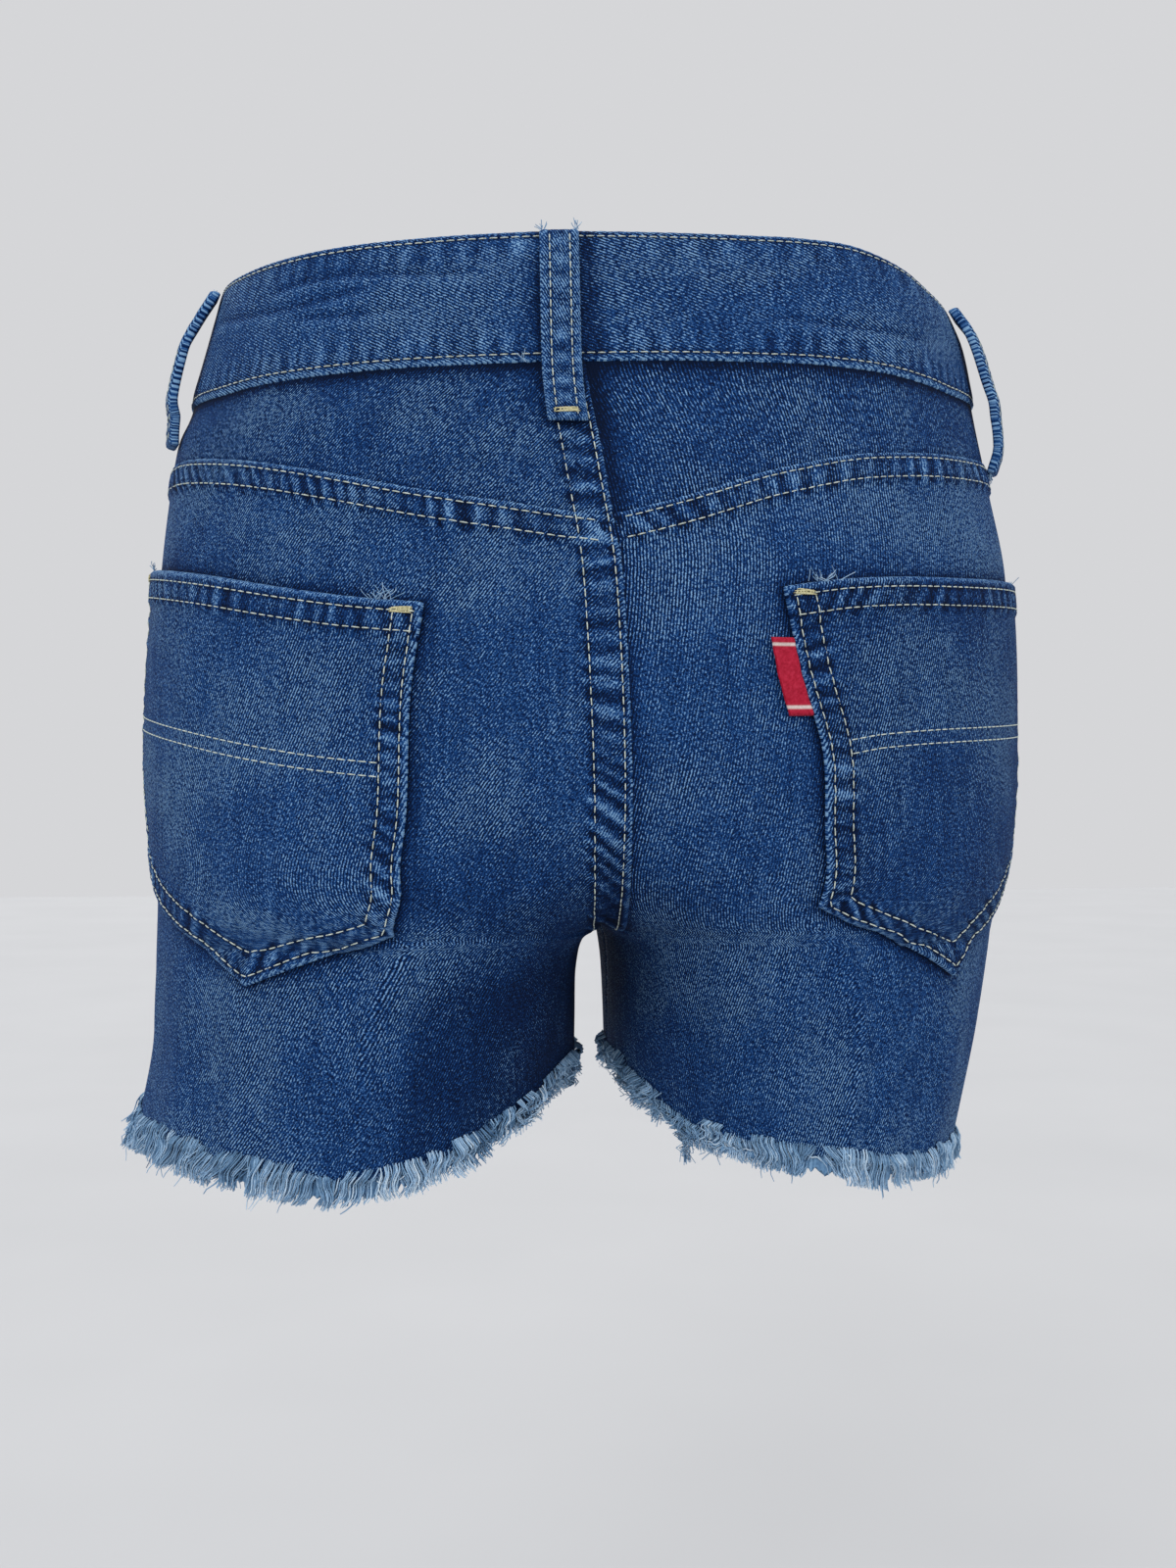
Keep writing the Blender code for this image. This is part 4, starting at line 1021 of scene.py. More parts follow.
def make_back_panel(side):
    rows = steps(0, 246, CELL)
    cols = steps(0, 242, CELL)
    share = np.linspace(0, 1, rows)[:, None]
    across = np.linspace(0, 1, cols)[None, :]
    u = SIDE_SEAM_U * across
    top = down_mm(yoke_seam[side](u) + EDGE_V)
    v = v_at(top + (down_mm(V_HEM) - top) * share)
    if side == LEFT:
        start = back_lap(v)
        t = start + (SIDE_SEAM_U + 0.002 - start) * across
    else:
        start = np.where(v < V_CROTCH, 0.0006, INSEAM_U)
        t = -(SIDE_SEAM_U + 0.002 + (start - SIDE_SEAM_U - 0.002) * across)
        top = down_mm(yoke_seam[side](np.abs(t[0])) + EDGE_V)
        v = v_at(top + (down_mm(V_HEM) - top) * share)
    yoke, yoke_tone = yoke_relief(side, t, v)
    off_yoke = down_mm(v) - top
    if side == LEFT:
        seat, seat_tone = seat_relief(t, v)
        off_seat = aside(t, v) - aside(start, v)
        on_seat = (v < V_CROTCH)
        edge = rolled(off_seat) * on_seat
        rise = np.maximum(seat, yoke) + edge + rolled(off_yoke)
        tone = np.where(np.abs(seat) > np.abs(yoke), seat_tone, yoke_tone)
        tone = tone + 0.9 * np.exp(-(off_seat / 0.9) ** 2) * on_seat
    else:
        rise = yoke + rolled(off_yoke)
        tone = yoke_tone
        fade = 1 - ease((v - SEAM_END) / 0.2)
        tone = tone - 1.9 * contact(-aside(t, v) - SEAT_LAP, 1.9) * fade
    tone = tone + 1.0 * np.exp(-(off_yoke / 0.9) ** 2)
    side_off = (SIDE_SEAM_U - np.abs(t)) * girth(v)
    rise = rise - 0.7 * MM * np.exp(-np.clip(side_off, 0, None) / 1.0)
    hem_off = down_mm(V_HEM) - down_mm(v)
    tone = tone + 0.45 * np.exp(-hem_off / 2.0)
    tone = tone - 2.1 * contact(off_pocket(side, t, v), 2.0) - 1.4 * contact(off_loops(t, v))
    tone = tone - leg_shade(side, np.abs(t), v)
    outer = point(t, v, rise)
    inner = point(t, v, -CLOTH + 0 * rise)
    obj = shell(f"shell_back_{NAMES[side]}", outer, inner, side_uv(side, t, v), tone)
    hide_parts(f"back_panel_{NAMES[side]}")
    return obj, point(t, v)


def make_front_panel(side):
    rows = steps(0, 262, 1.8)
    cols = steps(0, 215, 1.8)
    share = np.linspace(0, 1, rows)[:, None]
    across = np.linspace(0, 1, cols)[None, :]
    v0 = below(V_BAND, -2.5)
    v = v_at(down_mm(v0) + (down_mm(V_HEM) - down_mm(v0)) * share) + 0 * across
    start = np.where(v < MOUTH_V, mouth_u(np.maximum(v, 1.0)), SIDE_SEAM_U)
    lap = FRONT_LAP / girth(v) * (1 - ease((v - 7.0) / 0.9))
    end = np.where(v < V_CROTCH, 1 + lap if side == LEFT else 0.9994, 1 - INSEAM_U)
    u = start + (end - start) * across
    t = u if side == LEFT else -u[:, ::-1]
    u = np.abs(t)
    off_start = (u - (start if side == LEFT else start[:, ::-1])) * girth(v)
    off_end = ((end if side == LEFT else end[:, ::-1]) - u) * girth(v)
    in_mouth = 1 - ease((v - MOUTH_V + 0.15) / 0.3)
    rise = rolled(off_start) * in_mouth - 0.5 * MM * np.exp(-off_start / 1.0) * (1 - in_mouth)
    tone = 2.0 * ladder(down_mm(v), off_start, 2.0, 8.5, 7.6, 3.4) * in_mouth
    tone = tone - 1.3 * groove(off_start, 2.0, 8.3) * in_mouth
    rise = rise + 0.15 * MM * tone + 0.5 * MM * (1 - ease((off_start - 9.0) / 1.5)) * in_mouth
    tone = tone + 0.9 * np.exp(-(off_start / 1.0) ** 2) * in_mouth
    fly = (v < V_CROTCH) * (1 - ease((v - 7.1) / 0.8))
    if side == LEFT:
        rise = rise + rolled(off_end) * fly + 0.8 * MM * (1 - ease((off_end - 9.0) / 2.0)) * fly
        pucker = ladder(down_mm(v), off_end, 1.5, 8.0, 7.7, 5.1) * fly
        rise, tone = rise + 0.25 * MM * pucker, tone + 2.0 * pucker
        tone = tone + 0.9 * np.exp(-(off_end / 1.0) ** 2) * fly
    off_band = down_mm(v) - down_mm(V_BAND)
    tone = tone - 2.0 * contact(off_band, 1.6)
    hem_off = down_mm(V_HEM) - down_mm(v)
    tone = tone + 0.45 * np.exp(-hem_off / 2.0)
    # inner_leg is painted shade towards the inseam, lower down the leg.
    inner_leg = np.exp(-((u - 0.96) / 0.10) ** 2) * ease((v - 5.0) / 3.0)
    faded = np.exp(-((u - 0.76) / 0.10) ** 2 - ((v - 7.0) / 3.2) ** 2)
    tone = tone - 0.45 * inner_leg + 0.30 * faded
    outer = point(t, v, rise)
    inner = point(t, v, -CLOTH + 0 * rise)
    obj = shell(f"shell_front_{NAMES[side]}", outer, inner, side_uv(side, t, v), tone)
    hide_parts(f"front_panel_{NAMES[side]}")
    return obj, point(t, v)


def make_facing(side):
    rows, cols = steps(0, 66, 1.8), steps(0, 118, 1.8)
    share = np.linspace(0, 1, rows)[:, None]
    v = below(V_BAND, -2.0) + (2.95 - below(V_BAND, -2.0)) * share
    start = SIDE_SEAM_U + EDGE_U
    end = mouth_u(np.maximum(v, 1.0)) + 0.035
    u = start + (end - start) * np.linspace(0, 1, cols)[None, :]
    v = v + 0 * u
    under = np.maximum(ease((u - start) / 0.02), ease((v - 2.3) / 0.2))
    base = -(CLOTH + LAID_ON) * under
    if side == RIGHT:
        u, v, base = u[:, ::-1], v[:, ::-1], base[:, ::-1]
    t = side * u
    behind_mouth = (mouth_u(np.maximum(v, 1.0)) - u) * girth(v)
    # The facing is darker over all, and darkest, as painted shade, under the front panel and near
    # its edge at the pocket mouth.
    tone = -0.3 - 0.5 * np.exp(-np.clip(behind_mouth, 0, None) / 3.0)
    obj = shell(f"shell_facing_{NAMES[side]}", point(t, v, base), point(t, v, base - CLOTH),
                side_uv(side, t, v), tone)
    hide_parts(f"front_facing_{NAMES[side]}")
    declare(obj, point(t, v))
    return obj


BAND_STITCHES = (2.0, -2.7)              # rows below the top edge and above the lower one, mm


def band_relief(t, v):
    """Height and tone of the waistband's face."""
    off_top, off_low = down_mm(v) - 0.0, down_mm(V_BAND) - down_mm(v)
    along = t * girth(0.5)
    rise = rolled(off_top, 1.6, 0.9) + rolled(off_low, 1.8, 1.1)
    rise = rise - 0.35 * MM * np.exp(-((off_top - 2.0) / 0.7) ** 2)
    rise = rise - 0.40 * MM * np.exp(-((off_low - 2.7) / 0.8) ** 2)
    low_wave = wave_noise(along, 4.4, 6.6) * np.exp(-((off_low - 6.0) / 4.5) ** 2)
    roll_wave = wave_noise(along + 2.0 * off_low, 1.9, 4.2) * np.exp(-(off_low / 1.6) ** 2)
    top_wave = wave_noise(along, 2.7, 8.8) * np.exp(-((off_top - 6.0) / 4.0) ** 2)
    rise = rise + (0.26 * low_wave + 0.22 * roll_wave + 0.12 * top_wave) * MM
    crease = np.zeros(np.broadcast(t, v).shape)
    for row, (low, high) in enumerate(((0.30, 0.06), (0.42, 0.16), (0.26, 0.12), (-0.12, -0.30))):
        mid = 12.0 + 5.5 * row
        span = ease((t - min(low, high)) / 0.03) * ease((max(low, high) - t) / 0.03)
        wander = 1.6 * np.sin(along / 17.0 + row * 2.0)
        crease = crease - span * np.exp(-((off_top - mid - wander) / 1.3) ** 2)
        crease = crease + 0.8 * span * np.exp(-((off_top - mid - 3.0 - wander) / 1.8) ** 2)
    rise = rise + 0.45 * MM * crease
    tone = 1.0 * low_wave + 1.3 * roll_wave + 0.7 * top_wave + 0.50 * crease
    tone = tone - 1.5 * groove(off_top, 2.0) - 1.7 * groove(off_low, 2.7)
    tone = tone - 1.4 * contact(off_loops(t, v))
    tone = tone + 0.9 * np.exp(-(off_top / 0.9) ** 2) + 1.5 * np.exp(-(off_low / 1.3) ** 2)
    ribs = np.sin(2 * math.pi * along / 1.5) * np.exp(-(off_top / 1.3) ** 2)
    beside = (t - LOOPS[0][1]) * girth(0.5) - 11.0
    worn = np.exp(-(beside / 4.0) ** 2 - ((off_top - 5.0) / 3.5) ** 2)
    return rise + 0.10 * MM * ribs, tone + 0.5 * ribs + 1.5 * worn


def make_band():
    rows, cols = steps(0, 44, 1.15), steps(0, 812, 1.15)
    low, high = -0.998, 1.0 + BAND_OVERLAP_U
    t = np.linspace(low, high, cols)[None, :]
    v = (V_WAIST + (V_BAND - EDGE_V - V_WAIST) * np.linspace(0, 1, rows))[:, None]
    lap = BAND_OVERLAP_RISE * ease((t - 0.90) / 0.07)
    rise, tone = band_relief(t, v)
    end_off = (high - t) * girth(0.5)
    rise = rise + BAND_PROUD + lap + rolled(end_off, 1.8, 1.0)
    tone = tone + 0.9 * np.exp(-(end_off / 1.0) ** 2)
    outer = point(t, v, rise)
    inner = point(t, v, BAND_PROUD - BAND_CLOTH + lap + 0 * v)
    v = v + 0 * t
    obj = shell("shell_waistband", outer, inner, cloth_uv(t + 0 * v, v, -28.0)[..., ::-1], tone,
                mats=("denim", "denim"))
    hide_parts("waistband")
    declare(obj, point(t, v))
    return obj


POCKET_EDGE_ROWS = (2.2, 8.4)            # stitch rows in from a pocket's edge, mm
POCKET_MOUTH_ROWS = (3.2, 9.6)
POCKET_HEM = 11.0


def pocket_relief(side, u, v):
    """Height and tone of a patch pocket's face at u and v."""
    x, y = laid_flat(u, v)
    down, left, foot, right = (distance(x, y, edge) for edge in pocket_edges(side))
    round_it = np.minimum(np.minimum(left, right), foot)
    along = np.where(round_it == foot, x, y)
    hem = 0.8 * (1 - ease((down - POCKET_HEM) / 1.0))
    strip = 0.35 * (1 - ease((round_it - 9.5) / 1.6))
    lad = ladder(along, round_it, 2.0, 9.0, 7.0, 6.1 + side)
    mouth = ladder(x, down, 3.0, 10.0, 6.9, 7.7 + side)
    lad = lad * (1 - ease((POCKET_HEM + 2 - down) / 2.0))
    dip = groove(round_it, *POCKET_EDGE_ROWS) * (down > 2) + groove(down, *POCKET_MOUTH_ROWS)
    lad = lad + 0.40 * rope(along, round_it, 3.6 + side)
    rise = (hem + strip + 0.46 * lad + 0.40 * mouth - 0.2 * np.minimum(dip, 1)) * MM
    rise = rise + rolled(round_it, 1.4, 1.0) + rolled(down, 1.4, 0.9)
    across, fall = left / (left + right + 1e-6), down / (down + foot + 1e-6)
    swell = 1.1 * MM * np.sin(math.pi * across) * np.sin(math.pi * fall)
    tone = 2.1 * lad + 1.9 * mouth + 1.3 * np.exp(-(round_it / 1.0) ** 2)
    tone = tone - 1.6 * np.minimum(dip, 1)
    tone = tone + 1.2 * np.exp(-(down / 1.2) ** 2)
    faded = np.exp(-((across - 0.5) / 0.40) ** 2 - ((fall - 0.5) / 0.42) ** 2)
    # The right pocket is 0.35 darker than the left: painted shade where the key light falls harder
    # on it.
    return rise + swell, tone + 0.20 * faded - (0.45 if side == RIGHT else 0.10)


POCKET_SIZE = (153.0, 148.0)             # width and height of a patch pocket laid flat, in mm


def pocket_point(side, a, b):
    """Points of a pocket's face. a and b are one-dimensional; the array is (b, a, 3)."""
    u, v = pocket_grid(side, np.asarray(a, float), np.asarray(b, float))
    rise, tone = pocket_relief(side, u, v)
    return point(side * u, v, POCKET_LIFT + POCKET_CLOTH + rise), tone, u, v


def make_pocket(side):
    cols, rows = (steps(0, size, 1.15) for size in POCKET_SIZE)
    a = np.linspace(0, 1, cols)
    b = np.linspace(0, 1, rows)
    outer, tone, u, v = pocket_point(side, a, b)
    inner = point(side * u, v, POCKET_LIFT + 0 * u)
    t = side * u
    if side == RIGHT:
        outer, inner, tone, t, v = (g[:, ::-1] for g in (outer, inner, tone, t, v))
    obj = shell(f"shell_pocket_{NAMES[side]}", outer, inner, cloth_uv(t, v, 0.6 * TURN[side] - 6),
                tone)
    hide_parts(f"back_pocket_{NAMES[side]}")
    declare(obj, point(t, v))
    return obj


def loop_frame(name, share):
    """Middle line of a belt loop with its sideways and outward directions."""
    t_top, t_foot, v_foot, bow = next(row[1:] for row in LOOPS if row[0] == name)
    rise = smooth_curve(bow, 1)(share) * MM
    v_top = 0.02 if name == "belt_loop_back" else 0.10
    v = v_top + (v_foot - v_top) * share
    middle = t_top + (t_foot - t_top) * share
    low = ease((v - V_BAND) / 0.25)
    foot_rise = FELL_HEIGHT * MM if name == "belt_loop_back" else 0.0
    lift = LAID_ON + BAND_PROUD * (1 - low) + foot_rise * low + rise
    centre = point(middle, v, lift)
    across = point(middle + 0.004, v, lift) - centre
    across /= np.linalg.norm(across, axis=-1, keepdims=True)
    along = np.gradient(centre, axis=0)
    out = np.cross(across, along)
    out /= np.linalg.norm(out, axis=-1, keepdims=True)
    out *= np.sign((out * (point(middle, v, lift + MM) - centre)).sum(-1, keepdims=True))
    return centre, across, out


SIDE_LOOP_SWELL = 1.6 * MM               # the side loops are bunched thicker


def make_belt_loop(name):
    rows, cols = steps(0, 66, 0.8), steps(0, 12.6, 0.65)
    share = np.linspace(0, 1, rows)
    centre, across, out = loop_frame(name, share)
    x = np.linspace(-0.5, 0.5, cols)[None, :] * LOOP_WIDTH / MM
    length = np.linalg.norm(np.diff(centre, axis=0), axis=1).sum() / MM
    y = share[:, None] * length
    off_edge = 0.5 * LOOP_WIDTH / MM - np.abs(x)
    off_end = np.minimum(y, length - y)
    pucker = 0.5 * wave_noise(y, 3.3, 5.2) * np.exp(-((off_edge - 1.8) / 1.4) ** 2)
    middle = wave_noise(y, 8.1, 6.8) * np.exp(-(x / 2.2) ** 2)
    body = LOOP_CLOTH + (SIDE_LOOP_SWELL if "side" in name else 0.0)
    row_dip = 0.25 * np.exp(-((np.abs(x) - 3.3) / 0.6) ** 2)
    rise = body + (0.22 * pucker + 0.18 * middle - row_dip) * MM
    rise = rise + rolled(off_edge, 1.2, 0.9) + rolled(off_end, 1.0, 0.8)
    uneven = 0.5 if "side" in name else 1.0
    tone = uneven * (1.8 * pucker + 1.3 * middle) + 0.9 * np.exp(-(off_edge / 0.8) ** 2)
    tone = tone - 1.2 * np.exp(-((np.abs(x) - 3.3) / 0.7) ** 2)
    tone = tone + 0.8 * np.exp(-(off_end / 0.8) ** 2) + 0.15
    flat = centre[:, None, :] + across[:, None, :] * x[..., None] * MM
    outer = flat + out[:, None, :] * rise[..., None]
    uv = np.stack([x * MM + 0.6 * y * MM, -y * MM + 0.6 * x * MM], -1)
    obj = shell(f"shell_{name}", outer, flat, uv, tone, mats=("denim", "denim"))
    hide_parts(name)
    declare(obj, flat)
    return obj


# ---- threads ----
def tubes(paths, radii, sides=3):
    """Vertices and faces for many tubes. paths is (count, steps, 3)."""
    count, length = paths.shape[:2]
    along = np.gradient(paths, axis=1)
    along /= np.maximum(np.linalg.norm(along, axis=-1, keepdims=True), 1e-12)
    mean = paths[:, -1] - paths[:, 0]
    other = np.stack([-mean[:, 1], mean[:, 2], mean[:, 0]], -1)[:, None, :]
    first = np.cross(along, other)
    first /= np.maximum(np.linalg.norm(first, axis=-1, keepdims=True), 1e-12)
    second = np.cross(along, first)
    angle = np.arange(sides) * 2 * math.pi / sides
    ring = (first[:, :, None] * np.cos(angle)[:, None]
            + second[:, :, None] * np.sin(angle)[:, None])
    verts = paths[:, :, None] + ring * radii[:, :, None, None]
    base = (np.arange(count) * length * sides)[:, None, None]
    k = (np.arange(length - 1) * sides)[None, :, None]
    a = np.arange(sides)[None, None, :]
    b = (a + 1) % sides
    quads = np.stack([base + k + a, base + k + b, base + k + sides + b, base + k + sides + a], -1)
    return verts.reshape(-1, 3), quads.reshape(-1, 4).tolist()


def merge(parts):
    verts, faces, at = [], [], 0
    for more, quads in parts:
        verts.append(more)
        faces += [[i + at for i in quad] for quad in quads] if at else quads
        at += len(more)
    return np.concatenate(verts), faces


BEAD_SHARE = np.array((0.0, 0.14, 0.5, 0.86, 1.0))
BEAD_LIFT = np.array((-0.9, 0.35, 0.8, 0.35, -0.9))       # in radii
BEAD_WIDTH = np.array((0.35, 0.85, 1.0, 0.85, 0.35))


def beads(starts, ends, normals, radius, sides=5):
    """Short arched threads, one from each start to its end."""
    run = ends - starts
    paths = starts[:, None] + run[:, None] * BEAD_SHARE[:, None]
    paths = paths + normals[:, None] * (BEAD_LIFT * radius)[:, None]
    return tubes(paths, np.broadcast_to(BEAD_WIDTH * radius, (len(starts), 5)), sides)


STITCH_PITCH, STITCH_LONG, STITCH_RADIUS = 3.5, 2.9, 0.24      # mm


def stitch_row(points, normals, phase=0.0, pitch=STITCH_PITCH, long=STITCH_LONG,
               radius=STITCH_RADIUS):
    """Stitches along a line of points that lies on the cloth."""
    run = np.concatenate([[0], np.cumsum(np.linalg.norm(np.diff(points, axis=0), axis=1))]) / MM
    first = np.arange(0.4 + phase, run[-1] - long, pitch)

    def at(where, data):
        return np.stack([np.interp(where, run, data[:, i]) for i in range(3)], -1)

    return beads(at(first, points), at(first + long, points), at(first + 0.5 * long, normals),
                 radius * MM)


def cloth_row(t, v, lift):
    """A stitch row on the cloth at t and v, over a relief of lift metres."""
    t, v, lift = np.broadcast_arrays(t, v, lift)
    points = point(t, v, lift)
    out = point(t, v, lift + MM) - points
    return stitch_row(points, out / np.linalg.norm(out, axis=-1, keepdims=True))


def add_threads(name, parts, mat="thread"):
    verts, faces = merge(parts)
    return make_mesh(name, verts, faces, [mat], slot="thread")


def sew_back(side):
    u = np.linspace(0.0, SIDE_SEAM_U - 0.003, 300)
    low = SEAT_LAP / girth(2.5) if side == RIGHT else 0.0
    u = u[u >= low]
    rows = []
    for off in YOKE_ROWS:
        v = below(yoke_seam[side](u), off)
        rise = yoke_relief(side, side * u, v)[0]
        if side == LEFT:
            rise = np.maximum(rise, seat_relief(u, v)[0])
        rows.append(cloth_row(side * u, v, rise))
    if side == LEFT:
        v = np.linspace(V_BAND, SEAM_END + 0.1, 420)
        for off in SEAT_ROWS:
            t = t_beside_centre(off, v)
            rise = np.maximum(seat_relief(t, v)[0],
                              yoke_relief(LEFT, t, v)[0] * (v > yoke_seam[LEFT](np.abs(t))))
            rows.append(cloth_row(t, v, rise))
    v = np.linspace(yoke_seam[side](SIDE_SEAM_U) + 0.1, 11.9, 300)
    rows.append(cloth_row(side * (SIDE_SEAM_U - 2.4 / girth(v)), v, 0.0 * v))
    return add_threads(f"stitches_back_{NAMES[side]}", rows)


def sew_band():
    t = np.linspace(-0.99, 1.0 + BAND_OVERLAP_U - 0.006, 900)
    lap = BAND_OVERLAP_RISE * ease((t - 0.90) / 0.07)
    rows = []
    for off in BAND_STITCHES:
        v = v_at(off) if off > 0 else below(V_BAND, off)
        rows.append(cloth_row(t, v, band_relief(t, v)[0] + BAND_PROUD + lap))
    return add_threads("stitches_waistband", rows)


TRIM_ROWS = (52.0, 56.5)                 # two plain rows across the pocket, mm below its mouth


def on_pocket(side, x, y):
    """A stitch row on a patch pocket through flat points in mm."""
    v = v_at(y)
    row = np.clip(v / V_HEM, 0, 1) * (len(ROWS_V) - 1)
    i = np.minimum(row.astype(int), len(ROWS_V) - 2)
    arcs = ARCS[i] + (ARCS[i + 1] - ARCS[i]) * (row - i)[:, None]
    x = x + arc(SIDE_SEAM_U, v)
    u = np.array([np.interp(at, line, ROW_U) for at, line in zip(x, arcs)])
    return cloth_row(side * u, v, POCKET_LIFT + POCKET_CLOTH + pocket_relief(side, u, v)[0])


def inside(line, off, middle):
    """A flat line moved off mm towards the middle."""
    fine = np.linspace(0, 1, 8 * len(line))
    line = np.stack([np.interp(fine, np.linspace(0, 1, len(line)), line[:, i]) for i in (0, 1)], -1)
    run = np.gradient(line, axis=0)
    side = np.stack([-run[:, 1], run[:, 0]], -1) / np.linalg.norm(run, axis=1, keepdims=True)
    side = side * np.sign(((middle - line) * side).sum(1, keepdims=True))
    return line + side * off


def sew_pocket(side):
    mouth, inner, foot, outer = pocket_edges(side)
    middle = 0.5 * (mouth.mean(0) + foot.mean(0))
    rows = []
    for off in POCKET_EDGE_ROWS:
        path = np.concatenate([inside(line, off, middle) for line in (inner, foot, outer[::-1])])
        keep = distance(*path.T, mouth) > POCKET_MOUTH_ROWS[0]
        for line in (inner, foot, outer):
            keep &= distance(*path.T, line) > off - 0.03
        rows.append(on_pocket(side, *path[keep].T))
    for off in POCKET_MOUTH_ROWS:
        path = inside(mouth, off, middle)
        keep = (distance(*path.T, inner) > 1.0) & (distance(*path.T, outer) > 1.0)
        rows.append(on_pocket(side, *path[keep].T))
    add_threads(f"stitches_pocket_{NAMES[side]}", rows)
    trim = []
    for off in TRIM_ROWS:
        path = inside(mouth, off, middle)
        keep = np.minimum(distance(*path.T, inner), distance(*path.T, outer)) > POCKET_EDGE_ROWS[1]
        trim.append(on_pocket(side, *path[keep].T))
    return add_threads(f"stitches_trim_{NAMES[side]}", trim)


def sew_loop(name):
    share = np.linspace(0.02, 0.98, 120)
    centre, across, out = loop_frame(name, share)
    rows = []
    for x in (-3.3, 3.3):
        body = LOOP_CLOTH + (SIDE_LOOP_SWELL if "side" in name else 0.0)
        line = centre + across * x * MM + out * (body - 0.2 * MM)
        rows.append(stitch_row(line, out, 0.0, 3.3, 2.7))
    return add_threads(f"stitches_{name}", rows)


def sew_front(side):
    rows = []
    v = np.linspace(V_BAND + 0.05, MOUTH_V - 0.02, 120)
    for off in (2.0, 8.3):
        u = mouth_u(v) + off / girth(v)
        inside = 0.5 * MM + 0.3 * MM * ladder(down_mm(v), off, 2.0, 8.5, 7.6, 3.4)
        rows.append(cloth_row(side * u, v, inside))
    v = np.linspace(MOUTH_V + 0.1, 11.9, 260)
    if side == LEFT:
        v = np.linspace(V_BAND, 7.7, 420)
        for off in (-FRONT_LAP + 1.7, 4.6):
            t = 1 - off / girth(v) * (1 - ease((v - 7.2) / 0.9))
            rise = 0.8 * MM + 0.25 * MM * ladder(down_mm(v), off + FRONT_LAP, 1.5, 8.0, 7.7, 5.1)
            rows.append(cloth_row(t, v, rise))
        for inset in (0.0, 6.0):           # the fly's J-shaped rows
            down = np.linspace(0, 1, 200)
            turned_in = np.clip((down - 0.62) / 0.38, 0, 1) ** 2.2
            off = (36.0 - inset) * np.sqrt(np.clip(1 - turned_in, 0, 1))
            length = 96.0 - inset
            v = v_at(down_mm(V_BAND) + down * length)
            rows.append(cloth_row(1 - np.maximum(off, 5.2) / girth(v), v, 0.1 * MM))
    return add_threads(f"stitches_front_{NAMES[side]}", rows)


def bartack(draw, at, run, out, long=8.0, wide=1.3):
    """A bundle of long stitches centred on a point, with short ones across it."""
    cross = np.cross(out, run)
    shift = (np.linspace(-0.5, 0.5, 4) * wide + draw.normal(0, 0.10, 4))[:, None] * MM
    reach = draw.uniform(0.34, 0.56, (2, 4, 1)) * long * MM
    sway = cross * draw.normal(0, 0.25, (4, 1)) * MM
    starts = [at - run * reach[0] + cross * shift - sway]
    ends = [at + run * reach[1] + cross * shift + sway]
    place = (np.linspace(-0.36, 0.36, 6) * long + draw.normal(0, 0.4, 6))[:, None] * MM
    half = 0.5 * (wide + 0.3) * cross * MM
    starts.append(at + run * place - half)
    ends.append(at + run * (place + 0.5 * MM) + half)
    starts, ends = np.concatenate(starts), np.concatenate(ends)
    return beads(starts, ends, np.broadcast_to(out, starts.shape), 0.26 * MM, 4)


def unit(vector):
    return vector / np.linalg.norm(vector)


def frame_at(t, v, lift=0.0):
    """Point, direction along +t, direction down and outward direction on the cloth."""
    here = point(t, v, lift)
    out = unit(point(t, v, lift + MM) - here)
    along = unit(point(t + 0.003, v, lift) - here)
    return here, along, np.cross(out, along), out


def make_bartacks():
    draw = np.random.default_rng(17)
    parts = []
    for name, *_ in LOOPS:
        centre, across, out = loop_frame(name, np.array([0.935, 0.945, 0.955]))
        parts.append(bartack(draw, centre[1] + out[1] * (LOOP_CLOTH + 0.1 * MM),
                             across[1], out[1], 8.8))
    for side in (LEFT, RIGHT):
        for a in (5.5 / POCKET_SIZE[0], 1 - 5.5 / POCKET_SIZE[0]):
            _, _, u, v = pocket_point(side, [0.0, a, 1.0], [0.0, 3.6 / POCKET_SIZE[1], 1.0])
            rise = pocket_relief(side, u[1, 1], v[1, 1])[0]
            lift = POCKET_LIFT + POCKET_CLOTH + rise + 0.25 * MM
            at, along, _, out = frame_at(side * u[1, 1], v[1, 1], lift)
            parts.append(bartack(draw, at, along, out, 8.0))
        for v in (V_BAND + 0.18, MOUTH_V - 0.08):
            u = mouth_u(v) + 5.0 / girth(v)
            at, along, down, out = frame_at(side * u, v, 0.9 * MM)
            parts.append(bartack(draw, at, along, out, 7.5))
    at, along, down, out = frame_at(1 - 5.0 / girth(3.8), v_at(down_mm(V_BAND) + 95.0), 0.5 * MM)
    parts.append(bartack(draw, at, down, out, 9.0))
    return add_threads("bartacks", parts, "bartack")


def curly(draw, roots, way, side_way, out_way, length, curl, steps_count, phase=None, crimp=None):
    """Wavy thread paths from roots. way, side_way and out_way are unit vectors for each."""
    n = len(roots)
    s = np.linspace(0, 1, steps_count)[None, :, None]
    length = np.broadcast_to(length, (n,))[:, None, None]
    curl = np.broadcast_to(curl, (n,))[:, None, None]
    if phase is None:
        turns = draw.uniform(0.6, 1.9, (n, 1, 1)) * length / (6 * MM) * 0.5
        phase = draw.uniform(0, 6.28, (n, 1, 1))
    else:
        turns = draw.uniform(0.92, 1.08, (n, 1, 1)) * length / crimp[:, None, None]
        phase = phase[:, None, None] + draw.normal(0, 0.25, (n, 1, 1))
    swing = np.sin(2 * math.pi * turns * s + phase) - np.sin(phase)
    lift = np.cos(2 * math.pi * turns * s * 1.2 + 2 * phase) - np.cos(2 * phase)
    return (roots[:, None] + way[:, None] * s * length + side_way[:, None] * swing * curl * s**0.4
            + out_way[:, None] * lift * curl * 0.8 * s**0.4)


FRINGE_COUNT = 3900
FRINGE_STEPS = 9
YARN_RADIUS = 0.27 * MM
LOCK = 5.5                # mean width of a lock of the fringe, in mm
CRIMP = 11.0 * MM         # length of one wave of a lock


